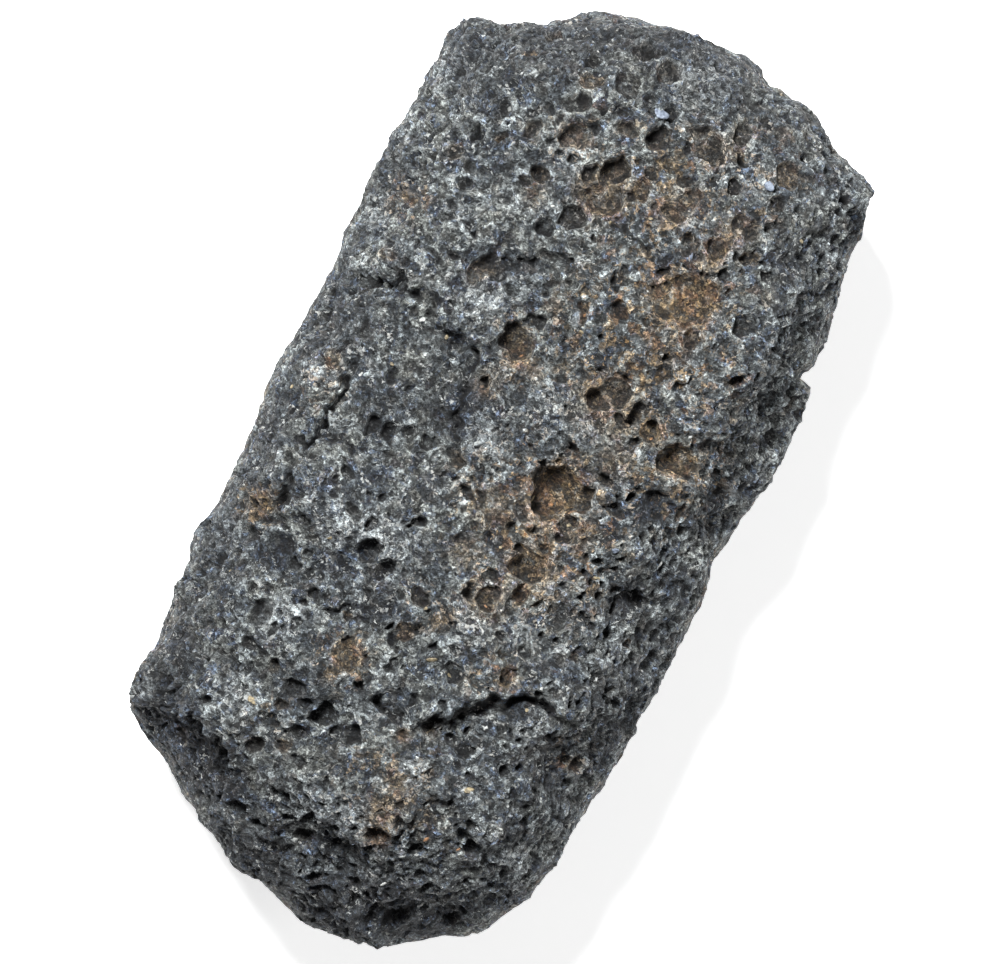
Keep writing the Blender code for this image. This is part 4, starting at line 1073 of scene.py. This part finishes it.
def basalt(settings):
    """Vesicular basalt. A mottled grey ground of grains at three sizes is tinted by the named
    patches: slate, partly painted shade, frost, with one patch of painted light, blue-black
    crystals and rust, the last two also in stray grains. The grains' brightness is a power of the
    grit, the laths, the medium grains and how far the place stands out, which paints shade into
    sunk places and lightens raised ones, partly as wear and partly as painted light. White and
    tan flecks lie over it, and sunk places and hollows are darker with painted shade."""
    n = Nodes("basalt_stone")
    pit, rust, lift, tone = (n.value(name) for name in ("pit", "rust", "lift", "tone"))
    frost_and_painted_light, slate_and_painted_shade, blue, warm = (n.value(name) for name in ("frost_and_painted_light", "slate_and_painted_shade", "blue", "warm"))
    broad, mottle, grit, crisp_noise = map(n.noise, ("broad", "mottle", "grit", "crisp"))
    clouds, crisp = n.parts(n.noise("clouds")), n.parts(crisp_noise)

    bent = n.moved("MULTIPLY_ADD", crisp_noise.outputs["Color"], (BEND, BEND, BEND), n.where)
    coarse_cells, medium_cells = n.grains(bent, COARSE_GRAINS), n.grains(bent, MEDIUM_GRAINS)
    coarse, medium = n.parts(coarse_cells), n.parts(medium_cells)
    turned = n.add("ShaderNodeVectorRotate", {"rotation_type": "AXIS_ANGLE"}, Vector=bent,
                   Axis=coarse_cells.outputs["Color"], Angle=n.times(coarse[1], LATH_TURN))
    fine = n.parts(n.grains(n.moved("MULTIPLY", turned, LATHS), 1.0))

    ground = n.mix(n.span(broad, "pale_ground"), "ground", "pale_ground")
    for pattern, name in ((mottle, "dark_mottle"), (mottle, "pale_mottle"), (tone, "dark_facet"),
                          (coarse[0], "dark_grain"), (coarse[0], "pale_grain")):
        ground = n.mix(n.span(pattern, name), ground, name)
    # Slate patches: dark stone, and painted shade on the sides, the rims and the near end.
    ground = n.mix(n.times(slate_and_painted_shade, SLATE_AND_SHADE_COVER), ground, "slate_and_painted_shade")
    # Frost patches: pale stone, one of them painted light on the steep right side.
    frost_and_light_share = n.times(frost_and_painted_light, n.span(crisp[0], "frost_and_painted_light"))
    ground = n.mix(n.times(frost_and_light_share, FROST_AND_LIGHT_COVER), ground, "frost_and_painted_light")

    placed_blue = n.times(blue, n.span(crisp[1], "blue_patch"))
    stray_blue = n.times(n.span(coarse[1], "blue_grain"), n.span(clouds[1], "blue_cloud"))
    crystal = n.most(n.most(placed_blue, stray_blue), n.span(medium[1], "small_blue"))
    crystal_colour = n.mix(n.span(fine[2], "pale_crystal"), "dark_crystal", "pale_crystal")
    ground = n.mix(n.times(crystal, CRYSTAL_COVER), ground, crystal_colour)

    stray = n.times(n.span(coarse[2], "rust_grain"), n.span(clouds[2], "rust_cloud"))
    small = n.times(n.span(medium[2], "small_rust"), n.span(clouds[2], "small_rust_cloud"))
    stray = n.times(n.most(stray, small), n.span(warm, "warmth"))
    rusty = n.most(n.times(rust, n.span(crisp[2], "rust_patch")), stray)
    rust_colour = n.mix(n.span(fine[2], "pale_rust"), "dark_rust", "pale_rust")
    rust_colour = n.mix(n.span(coarse[1], "red_rust"), rust_colour, "red_rust")
    ground = n.mix(n.times(rusty, RUST_COVER), ground, rust_colour)

    bright = n.plus(n.times(medium[0], MEDIUM_SHARE), n.times(grit, GRIT_SHARE))
    bright = n.plus(bright, n.span(fine[0], "lath_brightness"))
    # Lift: sunk places darker as painted shade, raised places paler, partly as wear and partly as
    # painted light.
    bright = n.plus(bright, n.span(lift, "lift_shade_and_light"))
    # The slate patches also dim the grains, as part of their painted shade.
    bright = n.sum("SUBTRACT", bright, n.times(slate_and_painted_shade, SLATE_AND_SHADE_SHARE))
    bright = n.sum("SUBTRACT", bright, settings.grain_level)
    ground = n.mix(1.0, ground, n.sum("POWER", BRIGHTNESS_BASE, bright), "MULTIPLY")
    flecked = n.most(n.span(clouds[0], "flecked_cloud"), frost_and_painted_light)
    tan = n.most(rusty, n.times(warm, n.span(fine[2], "tan_fleck")))
    fleck_colour = n.mix(tan, "white_fleck", "tan_fleck")
    ground = n.mix(n.times(n.span(fine[1], "fleck"), flecked), ground, fleck_colour)

    # Painted shade in sunk places.
    shaded = n.mix(n.span(lift, "sunk_shade"), ground, SUNK_SHADE, "MULTIPLY")
    # Painted shade in the deeper hollows, less in rusty ones.
    pit_shade_share = n.times(n.span(pit, "pit_shade"), n.span(rust, "pit_shade_on_rust"))
    shaded = n.mix(pit_shade_share, shaded, PIT_SHADE, "MULTIPLY")
    n.join(shaded, n.shader.inputs["Base Color"])
    n.join(n.span(mottle, "roughness"), n.shader.inputs["Roughness"])
    n.join(settings.shine, n.shader.inputs["Specular IOR Level"])

    grain_edge = n.span(medium_cells.outputs["Distance"], "grain_edge")
    height = n.plus(n.times(crisp_noise, CRISP_BUMP), grain_edge)
    n.bump(n.plus(height, n.times(grit, GRIT_BUMP)), settings.bump)
    return n.material


def mineral(kind, settings):
    """One mineral: two tones in small grains, with fine bump."""
    dark, light, roughness = MINERALS[kind]
    n = Nodes(kind + "_mineral")
    cloud = n.noise("mineral")
    tones = n.mix(n.span(cloud, "pale_mineral"), colour(*dark), colour(*light))
    n.join(tones, n.shader.inputs["Base Color"])
    ends = [roughness + change for change in ROUGH_CHANGES]
    n.join(n.carried(cloud, *ROUGH_LEVELS, *ends), n.shader.inputs["Roughness"])
    n.bump(n.times(cloud, MINERAL_BUMP), settings.mineral_bump)
    return n.material


def floor_paint():
    """Pale matt floor, lit softly from beneath like a light table."""
    material = bpy.data.materials.new("pale_floor")
    material.use_nodes = True
    inputs = material.node_tree.nodes["Principled BSDF"].inputs
    inputs["Base Color"].default_value = (FLOOR_GREY, FLOOR_GREY, FLOOR_GREY, 1.0)
    inputs["Emission Color"].default_value = WHITE
    inputs["Emission Strength"].default_value = FLOOR_GLOW
    inputs["Roughness"].default_value = FLOOR_ROUGHNESS
    return material


# ------------------------------------------------------------------ settings
class LavaRockShape(bpy.types.PropertyGroup):
    """How finely the rock is worn."""

    grid_step: bpy.props.FloatProperty(
        name="Grid step", description="Side of one grid cell, in millimetres", default=0.26, min=0.1)
    roundness: bpy.props.FloatProperty(
        name="Edge sharpness", description="Higher gives sharper edges between faces", default=22.0)
    triangles: bpy.props.IntProperty(
        name="Triangles", description="Triangles kept after thinning", default=198000)
    spared_from: bpy.props.FloatProperty(
        name="Spared from", description="Height over which more triangles are kept, in millimetres",
        default=5.0)
    upper_worth: bpy.props.FloatProperty(
        name="Upper worth", description="Thinning is held back so much over that height",
        default=0.8)
    lower_worth: bpy.props.FloatProperty(
        name="Lower worth", description="Thinning is held back so much under it", default=0.5)
    rest_cut: bpy.props.FloatProperty(
        name="Rest cut", description="Depth the resting patch is cut, in millimetres", default=2.3)
    rest_play: bpy.props.FloatProperty(
        name="Rest play", description="Points this near the patch lie on it, in millimetres",
        default=0.08)


class LavaRockSurface(bpy.types.PropertyGroup):
    """How the stone looks."""

    bump: bpy.props.FloatProperty(
        name="Bump", description="Strength of the fine relief", default=0.9, min=0.0, max=1.0)
    mineral_bump: bpy.props.FloatProperty(
        name="Mineral bump", description="Strength of the crystals' fine relief", default=0.5)
    shine: bpy.props.FloatProperty(
        name="Shine", description="Strength of the stone's reflections", default=0.4)
    grain_level: bpy.props.FloatProperty(
        name="Grain level", description="Higher makes the stone darker", default=3.94)


class LavaRockStage(bpy.types.PropertyGroup):
    """Floor, lights and camera."""

    lean: bpy.props.FloatProperty(
        name="Lean", description="Turn of the rock's long axis in the picture",
        default=0.4538, subtype="ANGLE")
    distance: bpy.props.FloatProperty(
        name="Distance", description="Camera height over the rock's widest level",
        default=3.0, unit="LENGTH")
    view_width: bpy.props.FloatProperty(
        name="View width", description="Width of the picture at the rock's widest level",
        default=0.1195, unit="LENGTH")


# ------------------------------------------------------------------ operators
class LAVA_OT_rock(bpy.types.Operator):
    """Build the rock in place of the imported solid"""

    bl_idname = "lava.rock"
    bl_label = "Rock"

    def execute(self, context):
        shape = context.scene.lava_shape
        points, faces, looks = worn_rock(shape.grid_step, shape.roundness)
        patch = np.percentile(points[:, 2], LOWEST) + shape.rest_cut
        spared = points[:, 2] > shape.spared_from
        points[:, 2] = np.maximum(points[:, 2], patch) - patch
        draft = object_of("rock", points, faces, looks)
        rock = thinned(draft, shape.triangles, spared, (shape.upper_worth, shape.lower_worth))
        points = set_down(read_points(rock.data), shape.rest_play)
        stretch, shift = box_fit(points)
        fitted = points * stretch + shift
        rock.data.vertices.foreach_set("co", fitted.astype(np.float32).ravel())
        rock.data.update()
        rock["stretch"], rock["shift"] = stretch.tolist(), shift.tolist()
        rock.data.shade_smooth()
        rock.data.materials.append(basalt(context.scene.lava_surface))
        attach(rock, BODY)
        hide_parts(NODE)
        return {"FINISHED"}


class LAVA_OT_crystals(bpy.types.Operator):
    """Set the crystals that show on the rock's top, one piece for each kind"""

    bl_idname = "lava.crystals"
    bl_label = "Crystals"

    def execute(self, context):
        rock = bpy.data.objects["rock"]
        points, normals = read_points(rock.data), read_points(rock.data, "normal")
        stretch, shift = np.array(rock["stretch"]), np.array(rock["shift"])
        for kind, table in CRYSTALS.items():
            seated = seated_crystals(table, points, normals, stretch, shift)
            crystals = object_of(kind + "_crystals", *seated)
            crystals.data.materials.append(mineral(kind, context.scene.lava_surface))
            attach(crystals, BODY)
            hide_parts(NODE)
        return {"FINISHED"}


class LAVA_OT_stage(bpy.types.Operator):
    """Make the pale floor, the soft lights and the camera"""

    bl_idname = "lava.stage"
    bl_label = "Stage"

    def execute(self, context):
        stage = context.scene.lava_stage
        mesh = bpy.data.meshes.new("floor")
        half, level = FLOOR_HALF, FLOOR_LEVEL
        turns = ((-1, -1), (1, -1), (1, 1), (-1, 1))
        corners = [(half * x, half * y, level) for x, y in turns]
        mesh.from_pydata(corners, [], [(0, 1, 2, 3)])
        mesh.materials.append(floor_paint())
        floor = linked("floor", mesh)

        right = Vector((np.cos(stage.lean), np.sin(stage.lean), 0.0))
        up = Vector((-right.y, right.x, 0.0))
        for name, across, along, height, size, power in LAMPS:
            lamp = bpy.data.lights.new(name, "AREA")
            lamp.shape = "DISK"
            lamp.size = size
            lamp.energy = power
            made = linked(name, lamp)
            made.location = right * across + up * along + Vector((0.0, 0.0, height))
            aim = (LAMP_AIM - made.location).to_track_quat("-Z", "Y")
            made.rotation_euler = aim.to_euler()
        world = bpy.data.worlds.new("studio")
        world.use_nodes = True
        sky = world.node_tree.nodes["Background"]
        sky.inputs["Color"].default_value = WHITE
        sky.inputs["Strength"].default_value = SKY
        context.scene.world = world

        data = bpy.data.cameras.new("camera")
        data.sensor_fit = "HORIZONTAL"
        data.lens = data.sensor_width * stage.distance / stage.view_width
        data.clip_start = 0.01
        camera = linked("camera", data)
        over = Vector((0.0, 0.0, 1.0))
        turn = Matrix((right, up, over)).transposed().to_4x4()
        camera.matrix_world = Matrix.Translation(LOOKED_AT + over * stage.distance) @ turn
        context.scene.camera = camera
        context.scene.view_settings.view_transform = "Standard"
        return {"FINISHED"}


class LAVA_PT_panel(bpy.types.Panel):
    """Buttons for the rock and its stage"""

    bl_idname = "LAVA_PT_panel"
    bl_label = "Lava rock"
    bl_space_type = "VIEW_3D"
    bl_region_type = "UI"
    bl_category = "Lava rock"

    def draw(self, context):
        for operator in OPERATORS:
            self.layout.operator(operator.bl_idname)


SETTINGS = (
    ("lava_shape", LavaRockShape),
    ("lava_surface", LavaRockSurface),
    ("lava_stage", LavaRockStage),
)
OPERATORS = (LAVA_OT_rock, LAVA_OT_crystals, LAVA_OT_stage)


def register():
    """Register the settings, operators and panel."""
    for name, group in SETTINGS:
        bpy.utils.register_class(group)
        setattr(bpy.types.Scene, name, bpy.props.PointerProperty(type=group))
    for kind in (*OPERATORS, LAVA_PT_panel):
        bpy.utils.register_class(kind)


def unregister():
    """Take back what register() did."""
    for kind in reversed((*OPERATORS, LAVA_PT_panel)):
        bpy.utils.unregister_class(kind)
    for name, group in reversed(SETTINGS):
        delattr(bpy.types.Scene, name)
        bpy.utils.unregister_class(group)


def main():
    """Build everything in order."""
    register()
    bpy.ops.lava.rock()
    bpy.ops.lava.crystals()
    bpy.ops.lava.stage()


if __name__ == "__main__":
    main()
